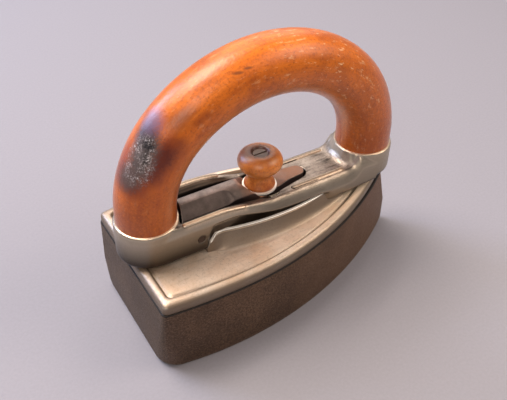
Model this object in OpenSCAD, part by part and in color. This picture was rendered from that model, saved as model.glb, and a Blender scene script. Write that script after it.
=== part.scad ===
// Box iron with a lift-off nickelled hood, a bent wood grip and a thumb latch.
// Millimetres. X runs to the nose, Z up, the sole stands on Z = 0.
// The origin is under the middle of the whole iron.

/* [Box] */
// Length of the box from the fullest part of its rear wall to the nose
box_len = 168.5; // [160:0.5:180]
// Full width of the box at its waist
box_w = 86; // [82:0.5:92]
// Distance of the waist from the rear wall
waist_from_rear = 43; // [38:0.5:50]
// Width of the rear wall
rear_w = 81; // [76:0.5:84]
// Height of the box up to the parting line
box_h = 42; // [40:0.5:48]
// Radius of the nose in plan
nose_r = 5; // [3:0.5:7]
// Radius of the two rear corners at the parting line
corner_r = 2.5; // [1.5:0.5:5]
// Radius of the two rear corners at the sole
foot_corner_r = 12; // [8:1:16]
// How far the nose leans back from the base to the parting line
nose_rake = 6.5; // [4:0.5:8]
// How far the rear wall draws in up to the parting line
rear_draft = 2; // [1:0.5:3]
// How far each side draws in up to the parting line
side_draft = 0.8; // [0.4:0.2:1.4]
// Rounding under the edge of the sole
sole_round = 3; // [2:0.5:4]
// Thickness of the cast side walls
box_wall = 6; // [5:0.5:7]
// Thickness of the sole
sole_t = 8; // [6:0.5:9]
// Solid iron behind the nose
nose_solid = 15; // [13:0.5:18]
// Height of the cast ribs that the slug stands on
rib_h = 3; // [2:0.5:4]
// Width of each rib
rib_w = 5; // [3:0.5:7]

/* [Heating slug] */
// Gap between the slug and the walls
slug_gap = 2.5; // [2:0.5:4]
// Height of the slug
slug_h = 22; // [18:0.5:22.5]
// Width of the slot that clears the keeper and the hook
slug_slot_w = 16.4; // [15.5:0.2:18]
// Diameter of the hole for the tongs
tongs_hole_d = 9; // [7:0.5:11]

/* [Keeper] */
// Diameter of the stud
stud_d = 10; // [9:0.5:11]
// Thickness of the flats under the lid
stud_flat = 5; // [4.5:0.1:5.4]
// Diameter of the cross pin that the hook grips
keeper_pin_d = 5; // [4:0.5:5]
// Length of the cross pin
keeper_pin_len = 13.6; // [12:0.2:14]
// Height of the cross pin below the parting line
keeper_drop = 8; // [7.5:0.5:9]

/* [Lid] */
// Height of the bright skirt and rim
rim_h = 5.8; // [5:0.2:7]
// Width of the rim
rim_w = 5.2; // [4.5:0.1:6.5]
// How far the lid stands in from the edge of the box
lid_set_in = 0.4; // [0.2:0.1:1]
// How far the tip of the lid stops short of the nose
lid_tip_gap = 1.6; // [1:0.2:3]
// Depth of the plate below the rim
plate_drop = 1.2; // [0.8:0.1:1.6]
// Thickness of the plate
plate_t = 2.6; // [2.2:0.1:3]
// Height of the seat of the handle frame above the plate
seat_h = 2.7; // [2.2:0.1:3.2]
// Height of the curled lip above the plate
lip_h = 7.8; // [6.5:0.1:8.4]
// Width of the boat-shaped mound between its lips
lip_w = 34.6; // [33:0.2:37]
// Width of the mound at its foot
mound_w = 49; // [44:0.5:54]
// Radius of the mound's long sides in plan
mound_r = 136; // [125:1:150]
// Thickness of the lip
lip_t = 1.4; // [1.2:0.1:1.8]
// Thickness of the insulating board
board_t = 2.4; // [2:0.1:2.6]
// Thickness of the heat shield
shield_t = 1; // [0.8:0.1:1.4]
// Gap between the heat shield and the walls of the box
shield_gap = 1; // [0.8:0.1:1.5]

/* [Handle frame] */
// Width of the frame
frame_w = 32.6; // [31.5:0.2:34]
// Distance between the two posts of the grip
post_span = 131.5; // [126:0.5:134]
// Height of the collars above the underside of the frame
collar_h = 19.7; // [18:0.1:21]
// Depth of the sockets for the posts
socket_depth = 4; // [3:0.5:5]
// Height of the rails beside the ridge of the latch lever
rail_h = 19; // [17.5:0.1:19.4]
// Height of the flat plate at the front
plate_h = 12.7; // [12:0.1:14]
// Width of the flat plate at the front
front_plate_w = 22; // [20:0.5:24]
// Bevel under the front end of the frame
front_bevel = 5; // [2:0.5:6]
// Width of the slot between the rails
slot_w = 19.4; // [18.8:0.1:20.4]
// Width of the frame's foot on the mound
foot_w = 24.6; // [23.6:0.2:26]
// Gap between the frame's ends and the lid
foot_rise = 2.7; // [2.2:0.1:3.2]

/* [Grip] */
// Diameter of the turned and bent wood
grip_d = 30; // [27:0.5:31]
// Depth below the collars' rims at which the bend starts
bend_drop = 1.4; // [0.6:0.1:2]

/* [Latch] */
// Distance of the pivot pin in front of the rear post
pivot_from_post = 21.5; // [21:0.5:23]
// Height of the pivot pin above the underside of the frame
pivot_h = 7.4; // [7:0.1:8]
// Diameter of the pivot pin
pivot_d = 4; // [3:0.5:4.5]
// Width of the lever
lever_w = 17; // [15.5:0.1:17.6]
// Height of the ridge above the underside of the frame
ridge_h = 21.8; // [20.6:0.1:22.4]
// Width of the flat on top of the ridge
ridge_flat = 5.4; // [4:0.2:7]
// Thickness of the lever's flat bar
bar_t = 4.4; // [3.8:0.1:4.8]
// How far the thumb presses the lever down, in degrees
press_angle = 7; // [6:0.5:7]
// Thickness of each leg of the hook
leg_t = 2.4; // [2:0.1:2.6]
// Length of the hook's toe under the cross pin
toe_len = 3; // [2.5:0.1:3]
// Height of the toe
toe_h = 4; // [3:0.5:4.5]
// Wire of the return spring
spring_wire = 1; // [0.8:0.1:1.2]
// Outer diameter of the return spring
spring_d = 7; // [6:0.5:8]
// Turns of the return spring
spring_turns = 4; // [3:1:5]

/* [Knob] */
// Distance of the knob in front of the pivot pin
knob_from_pivot = 42.8; // [41:0.2:45]
// Diameter of the knob's cap
knob_d = 23.6; // [20:0.2:25]
// Height of the knob above its washer
knob_h = 20.4; // [18:0.2:23]
// Diameter of the knob's base
knob_base_d = 16.6; // [14:0.2:17]
// Diameter of the knob's neck
knob_neck_d = 12.4; // [10:0.2:13]
// Diameter of the bright washer under the knob
washer_d = 18.2; // [17:0.2:19]
// Thickness of the bright washer
washer_t = 1; // [0.8:0.1:1.2]
// Thickness of the dark washer
under_washer_t = 0.8; // [0.6:0.1:1]
// Diameter of the screw through the knob
knob_screw_d = 4; // [3:0.5:4.5]

/* [Screws and fits] */
// Diameter of the small screws
screw_d = 3; // [2.5:0.5:3.5]
// Diameter of the grip screws
grip_screw_d = 5; // [4:0.5:6]
// Length of the grip screws above their heads
grip_screw_len = 42; // [34:1:46]
// Clearance around moving pins and studs, on the radius
fit = 0.06; // [0.03:0.01:0.1]
// Clearance between pieces that lie against each other
seat_gap = 0.1; // [0.05:0.05:0.2]

/* [Hidden] */

// Places along X
frame_r = frame_w / 2;
rear_overhang = 2.5;
rear_x = -(box_len + rear_overhang) / 2 + rear_overhang;
nose_x = rear_x + box_len;
waist_x = rear_x + waist_from_rear;
rear_post_x = rear_x - rear_overhang + frame_r;
front_post_x = rear_post_x + post_span;
pivot_x = rear_post_x + pivot_from_post;
knob_x = pivot_x + knob_from_pivot;

// Heights from the sole up
lid_z = box_h + seat_gap;
rim_z = lid_z + rim_h;
plate_z = rim_z - plate_drop;
plate_under_z = plate_z - plate_t;
seat_z = plate_z + seat_h;
lip_z = plate_z + lip_h;
frame_z = seat_z + seat_gap;
collar_z = frame_z + collar_h;
pivot_z = frame_z + pivot_h;
ridge_z = frame_z + ridge_h;
board_z = plate_under_z - board_t;
shield_z = board_z - shield_t;
slug_z = sole_t + rib_h;
keeper_z = box_h - keeper_drop;

// The knob stands level with the front plate
bar_z = frame_z + plate_h;
washer_z = bar_z + under_washer_t;
knob_z = washer_z + washer_t;
grip_head_sink = 4;
grip_washer_t = 1;
grip_under_head_z = frame_z + grip_head_sink - grip_washer_t;
grip_screw_top = grip_under_head_z + grip_screw_len;
bar_under_z = bar_z - bar_t;

// The lever: its back, where its chamfers stop, the crest of its slope, and its slim tip
lever_back_x = rear_post_x + frame_r + 0.6;
stop_from_knob = 21.5;
stop_x = knob_x - stop_from_knob;
crest_h = 16.2;
crest_z = frame_z + crest_h;
tip_from_knob = 22;
lever_tip_x = knob_x + tip_from_knob;
lever_tip_r = 3.8;

// The slot in the frame clears the lever's tip and the knob's washer
tip_clear = 1.2;
washer_clear = 2.1;
slot_tip_r = lever_tip_r + tip_clear;
slot_tip_x = lever_tip_x + 2 * tip_clear;

// The cavity in the box
cavity_nose_x = nose_x - nose_solid;
cavity_rear_x = rear_x + rear_draft + box_wall;
cavity_half = box_w / 2 - side_draft - box_wall;
cavity_rear_half = rear_w / 2 - side_draft - box_wall;
cavity_r = 5;
cavity_rear_r = 4;

// The keeper stands in front of the hook, whose legs hang close behind it
hook_from_pivot = 25.5;
hook_x = pivot_x + hook_from_pivot;
leg_len = 6.5;
latch_hole_w = 14.6;
keeper_x = hook_x + leg_len / 2 + keeper_pin_d / 2 + 0.6;
leg_y = stud_flat / 2 + 0.5;
stud_boss_r = stud_d / 2 + 2.4;
stud_boss_h = 6;
slot_rear_x = hook_x - leg_len / 2 - 5;
hook_swing = 3;
slot_front_x = keeper_x + stud_boss_r + 0.8;

// Screws under the lid, and the two at the rear that hold the frame
shield_screw_x = [rear_x + 18, nose_x - 52];
shield_screw_y = [29, 13];
pad_r = 4;
head_sink = 1.5;
frame_screw_x = pivot_x + 11.5;
frame_screw_y = 9.7;
front_screw_x = front_post_x - 28;
frame_thread = 4.2;

// The foot of the frame, and the middle of the mound that it stands on
foot_rear_x = pivot_x + 3;
foot_front_x = front_post_x - frame_w;
foot_gap = 0.5;
mound_from_waist = 33;
mound_x = waist_x + mound_from_waist;

// Where the frame's top stops falling, and where its flat plate starts
rail_end_x = knob_x + 6;
plate_start_x = knob_x + tip_from_knob;

// Longer than any cut through the iron has to be
far = 100;

// Radius of an arc that is parallel to X at the waist and runs tangent into a nose
function side_r(run, half, tip_r) = (pow(run - tip_r, 2) / (half - tip_r) + tip_r + half) / 2;

// Points of an arc, a at one end and b at the other
function arc(cx, cy, r, a, b, n) =
    [for (i = [0:n]) [cx + r * cos(a + (b - a) * i / n), cy + r * sin(a + (b - a) * i / n)]];

// Left half of the plan outline, from the nose to the middle of the rear wall
function half_plan(tip, back, half, back_half, tip_r, back_r) =
    let (
        run = tip - waist_x,
        r = side_r(run, half, tip_r),
        turn = atan2(r - half, run - tip_r),
        back_run = waist_x - back - back_r,
        drop = half - back_half,
        rr = (pow(back_run, 2) + pow(drop, 2)) / (2 * drop)
    )
    concat(
        arc(tip - tip_r, 0, tip_r, 0, turn, 6),
        [for (i = [1:15]) arc(waist_x, half - r, r, turn, 90, 15)[i]],
        [for (i = [1:5]) arc(waist_x, half - rr, rr, 90, 90 + asin(back_run / rr), 5)[i]],
        [for (i = [1:4]) arc(back + back_r, back_half - back_r, back_r, 90, 180, 4)[i]]
    );

function plan(tip, back, half, back_half, tip_r, back_r) =
    let (p = half_plan(tip, back, half, back_half, tip_r, back_r), n = len(p))
    concat(p, [for (i = [n - 1:-1:1]) [p[i][0], -p[i][1]]]);

// Outline of the box, drawn in by some amount
module box_plan(inset, at_top, corner) {
    tip = nose_x - at_top * nose_rake - inset;
    back = rear_x + at_top * rear_draft + inset;
    side = at_top * side_draft + inset;
    polygon(plan(tip, back, box_w / 2 - side, rear_w / 2 - side, max(nose_r - inset, 1), corner));
}

// Outline of what hangs inside the box, drawn in from its cavity
module cavity_plan(inset = 0) {
    polygon(plan(cavity_nose_x - inset, cavity_rear_x + inset, cavity_half - inset,
        cavity_rear_half - inset, cavity_r - inset, cavity_rear_r));
}

// Outline of the lid, which stops short of the nose
module lid_plan(inset = 0) {
    set_in = lid_set_in + inset;
    polygon(plan(nose_x - nose_rake - lid_tip_gap - inset * 1.5, rear_x + rear_draft + set_in,
        box_w / 2 - side_draft - set_in, rear_w / 2 - side_draft - set_in, max(nose_r - set_in, 1),
        corner_r));
}

// One layer of the box's outer skin
module box_slice(z, inset, at_top, corner) {
    translate([0, 0, z])
        linear_extrude(0.02)
            box_plan(inset, at_top, corner);
}

// A slot with round ends along X
module long_slot(x0, x1, w) {
    translate([x0 + w / 2, -w / 2])
        square([x1 - x0 - w, w]);
    for (x = [x0 + w / 2, x1 - w / 2])
        translate([x, 0])
            circle(d = w, $fn = 48);
}

// A prism along Y from points in X and Z
module across(w, points) {
    translate([0, w / 2, 0])
        rotate([90, 0, 0])
            linear_extrude(w)
                polygon(points);
}

module box_skin() {
    hull() {
        box_slice(0, sole_round, 0, foot_corner_r);
        box_slice(sole_round * 0.3, sole_round * 0.35, 0, foot_corner_r);
        box_slice(sole_round * 1.5, 0.1, 0, foot_corner_r);
        box_slice(box_h * 0.45, 0, 0.1, (foot_corner_r + corner_r) / 2);
        box_slice(box_h - 0.02, 0, 1, corner_r);
    }
}

module slug_rib(x, w) {
    translate([x - rib_w / 2, -w / 2, sole_t - 1])
        cube([rib_w, w, rib_h + 1]);
}

module box_body() {
    color([0.27, 0.24, 0.22]) {
        difference() {
            union() {
                difference() {
                    box_skin();
                    translate([0, 0, sole_t])
                        linear_extrude(box_h)
                            cavity_plan();
                }
                translate([keeper_x, 0, sole_t - 1])
                    cylinder(r = stud_boss_r, h = stud_boss_h + 1, $fn = 48);
                slug_rib(cavity_rear_x + 12, 2 * cavity_rear_half - 20);
                slug_rib(waist_x, 2 * cavity_half - 24);
                slug_rib(cavity_nose_x - 45, 24);
            }
            translate([keeper_x, 0, sole_t / 2])
                cylinder(r = stud_d * 0.4 + fit, h = box_h, $fn = 48);
        }
    }
}

// Threaded foot in the sole, round shank, and flats where the hook legs pass
module keeper_stud() {
    foot_z = sole_t / 2 + seat_gap;
    shoulder_z = sole_t + stud_boss_h + seat_gap;
    color([0.45, 0.44, 0.43])
        translate([keeper_x, 0, 0])
            difference() {
                union() {
                    translate([0, 0, foot_z])
                        cylinder(d = stud_d * 0.8, h = shoulder_z - foot_z + 1, $fn = 48);
                    translate([0, 0, shoulder_z])
                        cylinder(d = stud_d, h = keeper_z + keeper_pin_d - shoulder_z - 1, $fn = 48);
                }
                for (side = [-1, 1])
                    translate([-stud_d, side * (stud_flat / 2 + stud_d) - stud_d, shoulder_z + 7])
                        cube([2 * stud_d, 2 * stud_d, box_h]);
                translate([0, 0, keeper_z])
                    rotate([90, 0, 0])
                        cylinder(d = keeper_pin_d + 2 * fit, h = 4 * stud_d, center = true, $fn = 48);
            }
}

module keeper_pin() {
    color([0.6, 0.59, 0.57])
        translate([keeper_x, 0, keeper_z])
            rotate([90, 0, 0])
                cylinder(d = keeper_pin_d, h = keeper_pin_len, center = true, $fn = 48);
}

module heating_slug() {
    color([0.2, 0.18, 0.17])
        difference() {
            translate([0, 0, slug_z])
                linear_extrude(slug_h)
                    cavity_plan(slug_gap);
            translate([0, 0, slug_z - 1])
                linear_extrude(slug_h + 2)
                    long_slot(slot_rear_x - hook_swing, slot_front_x, slug_slot_w);
            translate([cavity_rear_x + 26, 0, slug_z - 1])
                cylinder(d = tongs_hole_d, h = slug_h + 2, $fn = 48);
        }
}

// One long side of the mound, turned about an upright axis: a cove from foot to lip
module mound_side() {
    rise = lip_h;
    run = (mound_w - lip_w) / 2;
    rim = [for (i = [0:8]) [mound_r - run * sin(i * 90 / 8), plate_z + rise * (1 - cos(i * 90 / 8))]];
    translate([mound_x, mound_w / 2 - mound_r, 0])
        rotate_extrude($fn = 96)
            polygon(concat([[mound_r - mound_w, plate_under_z]], [[mound_r, plate_under_z]], rim,
                [[mound_r - mound_w, plate_z + rise]]));
}

// The boat-shaped mound, its ends sloped down to the plate
module mound() {
    rear = foot_rear_x - 6;
    front = foot_front_x + 14;
    intersection() {
        mound_side();
        mirror([0, 1, 0])
            mound_side();
        across(mound_w + 2, [[rear, plate_under_z], [rear, plate_z], [foot_rear_x + 5, lip_z],
            [foot_front_x - 2, lip_z], [front, plate_z], [front, plate_under_z]]);
    }
}

// Where a leg of the hook and the knob's nut go through the lid
module latch_hole(z, h, front) {
    translate([0, 0, z])
        linear_extrude(h)
            long_slot(slot_rear_x, front, latch_hole_w);
}

module lid_casting() {
    color([0.72, 0.7, 0.63])
        difference() {
            union() {
                difference() {
                    translate([0, 0, lid_z])
                        linear_extrude(rim_h)
                            lid_plan();
                    translate([0, 0, plate_z])
                        linear_extrude(rim_h)
                            lid_plan(rim_w);
                    translate([0, 0, lid_z - 1])
                        linear_extrude(plate_under_z - lid_z + 1)
                            cavity_plan(shield_gap);
                }
                mound();
                for (i = [0:1])
                    for (side = [-1, 1])
                        translate([shield_screw_x[i], side * shield_screw_y[i], board_z + seat_gap])
                            cylinder(r = pad_r, h = board_t + plate_t / 2, $fn = 48);
            }
            translate([0, 0, seat_z])
                linear_extrude(20)
                    mound_inside();
            latch_hole(lid_z - 1, 20, knob_x + 9);
            nose_relief();
            for (i = [0:1])
                for (side = [-1, 1])
                    translate([shield_screw_x[i], side * shield_screw_y[i], shield_z])
                        cylinder(d = screw_d + 2 * fit, h = plate_z - 0.9 - shield_z, $fn = 32);
            frame_screw_places()
                translate([0, 0, plate_under_z - 2]) {
                    cylinder(d = screw_d + 2 * fit, h = 12, $fn = 32);
                    cylinder(d = 2 * screw_d + 0.4, h = 2 + head_sink, $fn = 32);
                }
        }
}

// Plan of the trough: between the lips, and open along the frame's foot
module mound_inside() {
    inner_r = mound_r - (mound_w - lip_w) / 2 - lip_t;
    middle = mound_r - mound_w / 2;
    intersection() {
        translate([mound_x, middle])
            circle(r = inner_r, $fn = 96);
        translate([mound_x, -middle])
            circle(r = inner_r, $fn = 96);
    }
    translate([rear_x, -foot_w / 2 - foot_gap])
        square([box_len, foot_w + 2 * foot_gap]);
    for (x = [rear_x, foot_front_x - foot_gap])
        translate([x, -frame_r - foot_gap])
            square([foot_rear_x + foot_gap - rear_x, frame_w + 2 * foot_gap]);
}

// The skirt lifts a little off the box towards the nose
module nose_relief() {
    translate([nose_x - nose_rake - 42, -box_w / 2, lid_z])
        rotate([0, -2.2, 0])
            translate([0, 0, -10])
                cube([60, box_w, 10]);
}

// Two screws under the rails and one under the front plate
module frame_screw_places() {
    for (side = [-1, 1])
        translate([frame_screw_x, side * frame_screw_y, 0])
            children();
    translate([front_screw_x, 0, 0])
        children();
}

// Flat sheet under the lid with its holes
module under_sheet(z, t, hole_r) {
    translate([0, 0, z])
        linear_extrude(t)
            difference() {
                cavity_plan(shield_gap + seat_gap);
                long_slot(slot_rear_x, keeper_x + 6, latch_hole_w);
                for (i = [0:1])
                    for (side = [-1, 1])
                        translate([shield_screw_x[i], side * shield_screw_y[i]])
                            circle(r = hole_r, $fn = 32);
            }
}

module insulating_board() {
    color([0.8, 0.78, 0.72])
        under_sheet(board_z + seat_gap / 2, board_t - seat_gap, pad_r + 0.2);
}

module heat_shield() {
    color([0.5, 0.5, 0.5])
        under_sheet(shield_z, shield_t, screw_d / 2 + 0.1);
}

// Slotted cheese-head screw, its head down, the underside of the head at Z = 0
module cap_screw(d, shank, head_h) {
    cylinder(d = d, h = shank, $fn = 32);
    difference() {
        translate([0, 0, -head_h])
            cylinder(d = 2 * d, h = head_h, $fn = 32);
        translate([-d * 1.5, -d * 0.13, -head_h - 0.1])
            cube([3 * d, d * 0.26, head_h * 0.5]);
    }
}

module shield_screws() {
    color([0.55, 0.54, 0.52])
        for (i = [0:1])
            for (side = [-1, 1])
                translate([shield_screw_x[i], side * shield_screw_y[i], shield_z - 0.02])
                    cap_screw(screw_d, plate_z - 1.2 - shield_z, 1.6);
}

module frame_screws() {
    color([0.55, 0.54, 0.52])
        frame_screw_places()
            translate([0, 0, plate_under_z + head_sink - 0.02])
                cap_screw(screw_d, frame_z + frame_thread - plate_under_z - head_sink, head_sink - 0.1);
}

// Height of the frame's top along X: high rails at the rear, a flat plate in front
function top_z(x) =
    let (
        from = pivot_x + 10,
        to = rail_end_x,
        t = min(max((x - from) / (to - from), 0), 1)
    )
    frame_z + rail_h + (plate_h - rail_h) * t * t * (3 - 2 * t);

// The bar between the two boots, its top as top_z gives it
module frame_bar() {
    x0 = rear_post_x + frame_r;
    curve = [for (i = [0:16]) let (x = x0 + (rail_end_x - x0) * i / 16) [x, top_z(x)]];
    across(frame_w, concat([[rear_post_x, frame_z], [rear_post_x, frame_z + rail_h]], curve,
        [[front_post_x, frame_z + plate_h], [front_post_x, frame_z + front_bevel],
            [front_post_x - front_bevel, frame_z]]));
}

// The round boot of a post; the front one is bevelled underneath
module boot(x, bevel) {
    translate([x, 0, frame_z]) {
        cylinder(r1 = frame_r - bevel, r2 = frame_r, h = bevel, $fn = 96);
        translate([0, 0, bevel])
            cylinder(r = frame_r, h = collar_h - bevel, $fn = 96);
    }
}

// The hollow sweep from the front plate up to the front boot
module boot_sweep() {
    g = collar_h - plate_h;
    points = [for (i = [0:8]) [frame_r + g * (1 - sin(i * 90 / 8)), plate_h + g * (1 - cos(i * 90 / 8))]];
    intersection() {
        translate([front_post_x, 0, frame_z])
            rotate_extrude($fn = 96)
                polygon(concat([[0, plate_h - 1], [frame_r + g, plate_h - 1]], points, [[0, collar_h]]));
        translate([front_post_x - 2 * frame_r, -front_plate_w / 2, frame_z])
            cube([2 * frame_r, front_plate_w, collar_h]);
    }
}

// The slot: wide beside the ridge, round under the knob, narrow at the tip
module frame_slot() {
    translate([rear_post_x + frame_r - 0.4, -slot_w / 2])
        square([knob_x - rear_post_x - frame_r - 4, slot_w]);
    translate([knob_x, 0])
        circle(r = washer_d / 2 + washer_clear, $fn = 64);
    polygon([[knob_x, -slot_w / 2], [slot_tip_x, -slot_tip_r], [slot_tip_x, slot_tip_r],
        [knob_x, slot_w / 2]]);
    translate([slot_tip_x, 0])
        circle(r = slot_tip_r, $fn = 48);
}

// The shoulders that narrow the top from the rails to the front plate
module frame_shoulder() {
    lean = frame_r - front_plate_w / 2;
    reach = plate_start_x - frame_screw_x - 8;
    over = rail_h - plate_h + 5;
    out = lean + 14;
    section = [[0, over], [0, 0], [lean * 0.55, -1.4], [lean + 0.2, -6], [out, -6], [out, over]];
    translate([plate_start_x, front_plate_w / 2, frame_z + plate_h]) {
        rotate([0, 0, -atan2(lean, reach)])
            translate([-far, 0, 0])
                rotate([90, 0, 90])
                    linear_extrude(far)
                        polygon(section);
        rotate([90, 0, 90])
            linear_extrude(front_post_x - plate_start_x + 1)
                polygon(section);
    }
}

// The cut under the rails that leaves a narrow foot on the mound
module frame_undercut() {
    run = foot_front_x - foot_rear_x;
    rise = lip_h - seat_h + 1.6;
    round = 3;
    translate([foot_rear_x, foot_w / 2, frame_z - 1]) {
        cube([run, frame_w, rise + 1 - round]);
        translate([round, 0, 0])
            cube([run - 2 * round, frame_w, rise + 1]);
        for (x = [round, run - round])
            translate([x, 0, rise + 1 - round])
                rotate([-90, 0, 0])
                    cylinder(r = round, h = frame_w, $fn = 32);
    }
}

// Ledges inside the slot that take the two rear screws
module frame_ledges() {
    reach = slot_w / 2 - frame_screw_y + screw_d;
    for (side = [0, 1])
        mirror([0, side, 0])
            translate([frame_screw_x - screw_d - 1, frame_screw_y - screw_d + 0.2, frame_z])
                cube([2 * screw_d + 2, reach, frame_thread + 0.6]);
}

module handle_frame() {
    color([0.6, 0.6, 0.55])
        difference() {
            union() {
                difference() {
                    union() {
                        frame_bar();
                        boot_sweep();
                    }
                    for (side = [0, 1])
                        mirror([0, side, 0]) {
                            frame_shoulder();
                            frame_undercut();
                        }
                    translate([0, 0, frame_z - 1])
                        linear_extrude(far)
                            frame_slot();
                }
                boot(rear_post_x, 1);
                boot(front_post_x, front_bevel);
                frame_ledges();
            }
            for (x = [rear_post_x, front_post_x]) {
                translate([x, 0, collar_z - socket_depth])
                    cylinder(d = grip_d + 2 * fit, h = 20, $fn = 96);
                translate([x, 0, frame_z - 1]) {
                    cylinder(d = grip_screw_d + 2 * fit, h = 30, $fn = 32);
                    cylinder(d = 2 * grip_screw_d + 1.6, h = 1 + grip_head_sink, $fn = 32);
                }
            }
            translate([pivot_x, 0, pivot_z])
                rotate([90, 0, 0])
                    cylinder(d = pivot_d + 2 * fit, h = far, center = true, $fn = 32);
            frame_screw_places()
                translate([0, 0, frame_z - 1])
                    cylinder(d = screw_d + 2 * fit, h = 1 + frame_thread + 0.1, $fn = 32);
        }
}

module latch_pivot_pin() {
    color([0.5, 0.5, 0.48])
        translate([pivot_x, 0, pivot_z])
            rotate([90, 0, 0])
                cylinder(d = pivot_d, h = frame_w - 0.6, center = true, $fn = 32);
}

// The grip is bent to a half circle that starts just inside the sockets
module wood_grip() {
    foot = collar_z - socket_depth + seat_gap;
    bend_z = collar_z - bend_drop;
    color([0.72, 0.35, 0.12])
        difference() {
            union() {
                for (x = [rear_post_x, front_post_x])
                    translate([x, 0, foot])
                        cylinder(d = grip_d, h = bend_z - foot, $fn = 64);
                translate([(rear_post_x + front_post_x) / 2, 0, bend_z])
                    rotate([90, 0, 0])
                        rotate_extrude(angle = 180, $fn = 192)
                            translate([post_span / 2, 0])
                                circle(d = grip_d, $fn = 64);
            }
            for (x = [rear_post_x, front_post_x])
                translate([x, 0, foot - 1])
                    cylinder(d = grip_screw_d + 2 * fit, h = 1 + grip_screw_top - foot + 1, $fn = 32);
        }
}

// Wood screw that comes up through the frame into a post
module grip_screw(x) {
    under_head = grip_under_head_z - 0.04;
    color([0.5, 0.49, 0.47])
        translate([x, 0, under_head])
            cap_screw(grip_screw_d, grip_screw_top - under_head, 2.2);
}

module rear_grip_screw() {
    grip_screw(rear_post_x);
}

module front_grip_screw() {
    grip_screw(front_post_x);
}

module grip_screw_washers() {
    color([0.6, 0.6, 0.58])
        for (x = [rear_post_x, front_post_x])
            translate([x, 0, grip_under_head_z - 0.02])
                difference() {
                    cylinder(d = 2 * grip_screw_d + 1.2, h = grip_washer_t, $fn = 32);
                    translate([0, 0, -1])
                        cylinder(d = grip_screw_d + 2 * fit, h = 3, $fn = 32);
                }
}

// Side view of the lever: pivot lug, ridge, slope down to the flat bar, tip
module lever_profile() {
    tip_end = lever_tip_x + lever_tip_r + 1.2;
    across(lever_w, [[lever_back_x, pivot_z - 4], [pivot_x + 4, pivot_z - 4], [pivot_x + 9, bar_under_z],
        [knob_x + 8, bar_under_z], [tip_end, bar_z - 2.4], [tip_end, bar_z - 0.6],
        [knob_x + 12, bar_z], [knob_x - 10, bar_z], [stop_x + 8, crest_z - 1], [stop_x + 3, crest_z],
        [stop_x - 3, ridge_z - 0.8], [stop_x - 6, ridge_z], [lever_back_x, ridge_z]]);
}

// Plan of the lever: full width to the knob, then a slim round tip
module lever_plan() {
    base = lever_tip_r + 2.4;
    translate([lever_back_x, -lever_w / 2])
        square([knob_x - lever_back_x, lever_w]);
    translate([knob_x, 0])
        circle(d = lever_w, $fn = 64);
    polygon([[knob_x, -base], [lever_tip_x, -lever_tip_r], [lever_tip_x, lever_tip_r], [knob_x, base]]);
    translate([lever_tip_x, 0])
        circle(r = lever_tip_r, $fn = 48);
}

// One leg of the hook with its toe pointing to the nose
module hook_leg() {
    toe_z = keeper_z - keeper_pin_d / 2 - 0.25;
    leg_front = hook_x + leg_len / 2;
    translate([0, leg_y + leg_t / 2, 0])
        across(leg_t, [[hook_x - leg_len / 2, bar_under_z + 1], [leg_front, bar_under_z + 1],
            [leg_front, toe_z], [leg_front + toe_len + 0.4, toe_z], [leg_front + toe_len, toe_z - toe_h],
            [hook_x - leg_len / 2, toe_z - toe_h]]);
}

module latch_lever() {
    drop = ridge_z - crest_z;
    flat = ridge_flat / 2;
    edge = lever_w / 2;
    color([0.33, 0.32, 0.33])
        difference() {
            union() {
                intersection() {
                    lever_profile();
                    translate([0, 0, frame_z])
                        linear_extrude(far)
                            lever_plan();
                }
                for (flip = [0, 1])
                    mirror([0, flip, 0])
                        hook_leg();
            }
            for (flip = [0, 1])
                mirror([0, flip, 0])
                    translate([stop_x - far, 0, ridge_z])
                        rotate([90, 0, 90])
                            linear_extrude(far)
                                polygon([[flat, 0], [edge, -drop], [edge + 5, -drop], [edge + 5, 1],
                                    [flat, 1]]);
            translate([pivot_x, 0, pivot_z])
                rotate([90, 0, 0])
                    cylinder(d = pivot_d + 2 * fit, h = far, center = true, $fn = 32);
            translate([knob_x, 0, 0])
                cylinder(d = knob_screw_d + 2 * fit, h = far, $fn = 32);
        }
}

// Return spring between the mound and the lever, in front of the pivot
spring_x = pivot_x + 13;
spring_z0 = seat_z + 0.15;
spring_h = bar_under_z - 0.15 - spring_z0;
spring_mid_r = (spring_d - spring_wire) / 2;
spring_steps = 12;

// Height of the wire's middle line, flat for half a turn at both ends
function spring_rise(t) =
    let (u = min(max((t * (spring_turns + 1) - 0.5) / spring_turns, 0), 1))
    spring_wire / 2 + (spring_h - spring_wire) * u;

function spring_ring(i, n) =
    let (
        t = i / n,
        a = 360 * (spring_turns + 1) * t,
        z = spring_rise(t)
    )
    [for (k = [0:5]) let (b = 60 * k, r = spring_mid_r + spring_wire / 2 * cos(b))
        [r * cos(a), r * sin(a), z + spring_wire / 2 * sin(b) * 0.98]];

module latch_spring() {
    n = spring_steps * (spring_turns + 1);
    points = [for (i = [0:n]) for (p = spring_ring(i, n)) p];
    sides = [for (i = [0:n - 1]) for (k = [0:5])
        let (a = 6 * i + k, b = 6 * i + (k + 1) % 6)
        each [[a, a + 6, b], [b, a + 6, b + 6]]];
    ends = [for (k = [1:4]) each [[0, k, k + 1], [6 * n, 6 * n + k + 1, 6 * n + k]]];
    color([0.55, 0.55, 0.57])
        translate([spring_x, 0, spring_z0])
            polyhedron(concat(points), concat(sides, ends));
}

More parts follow.
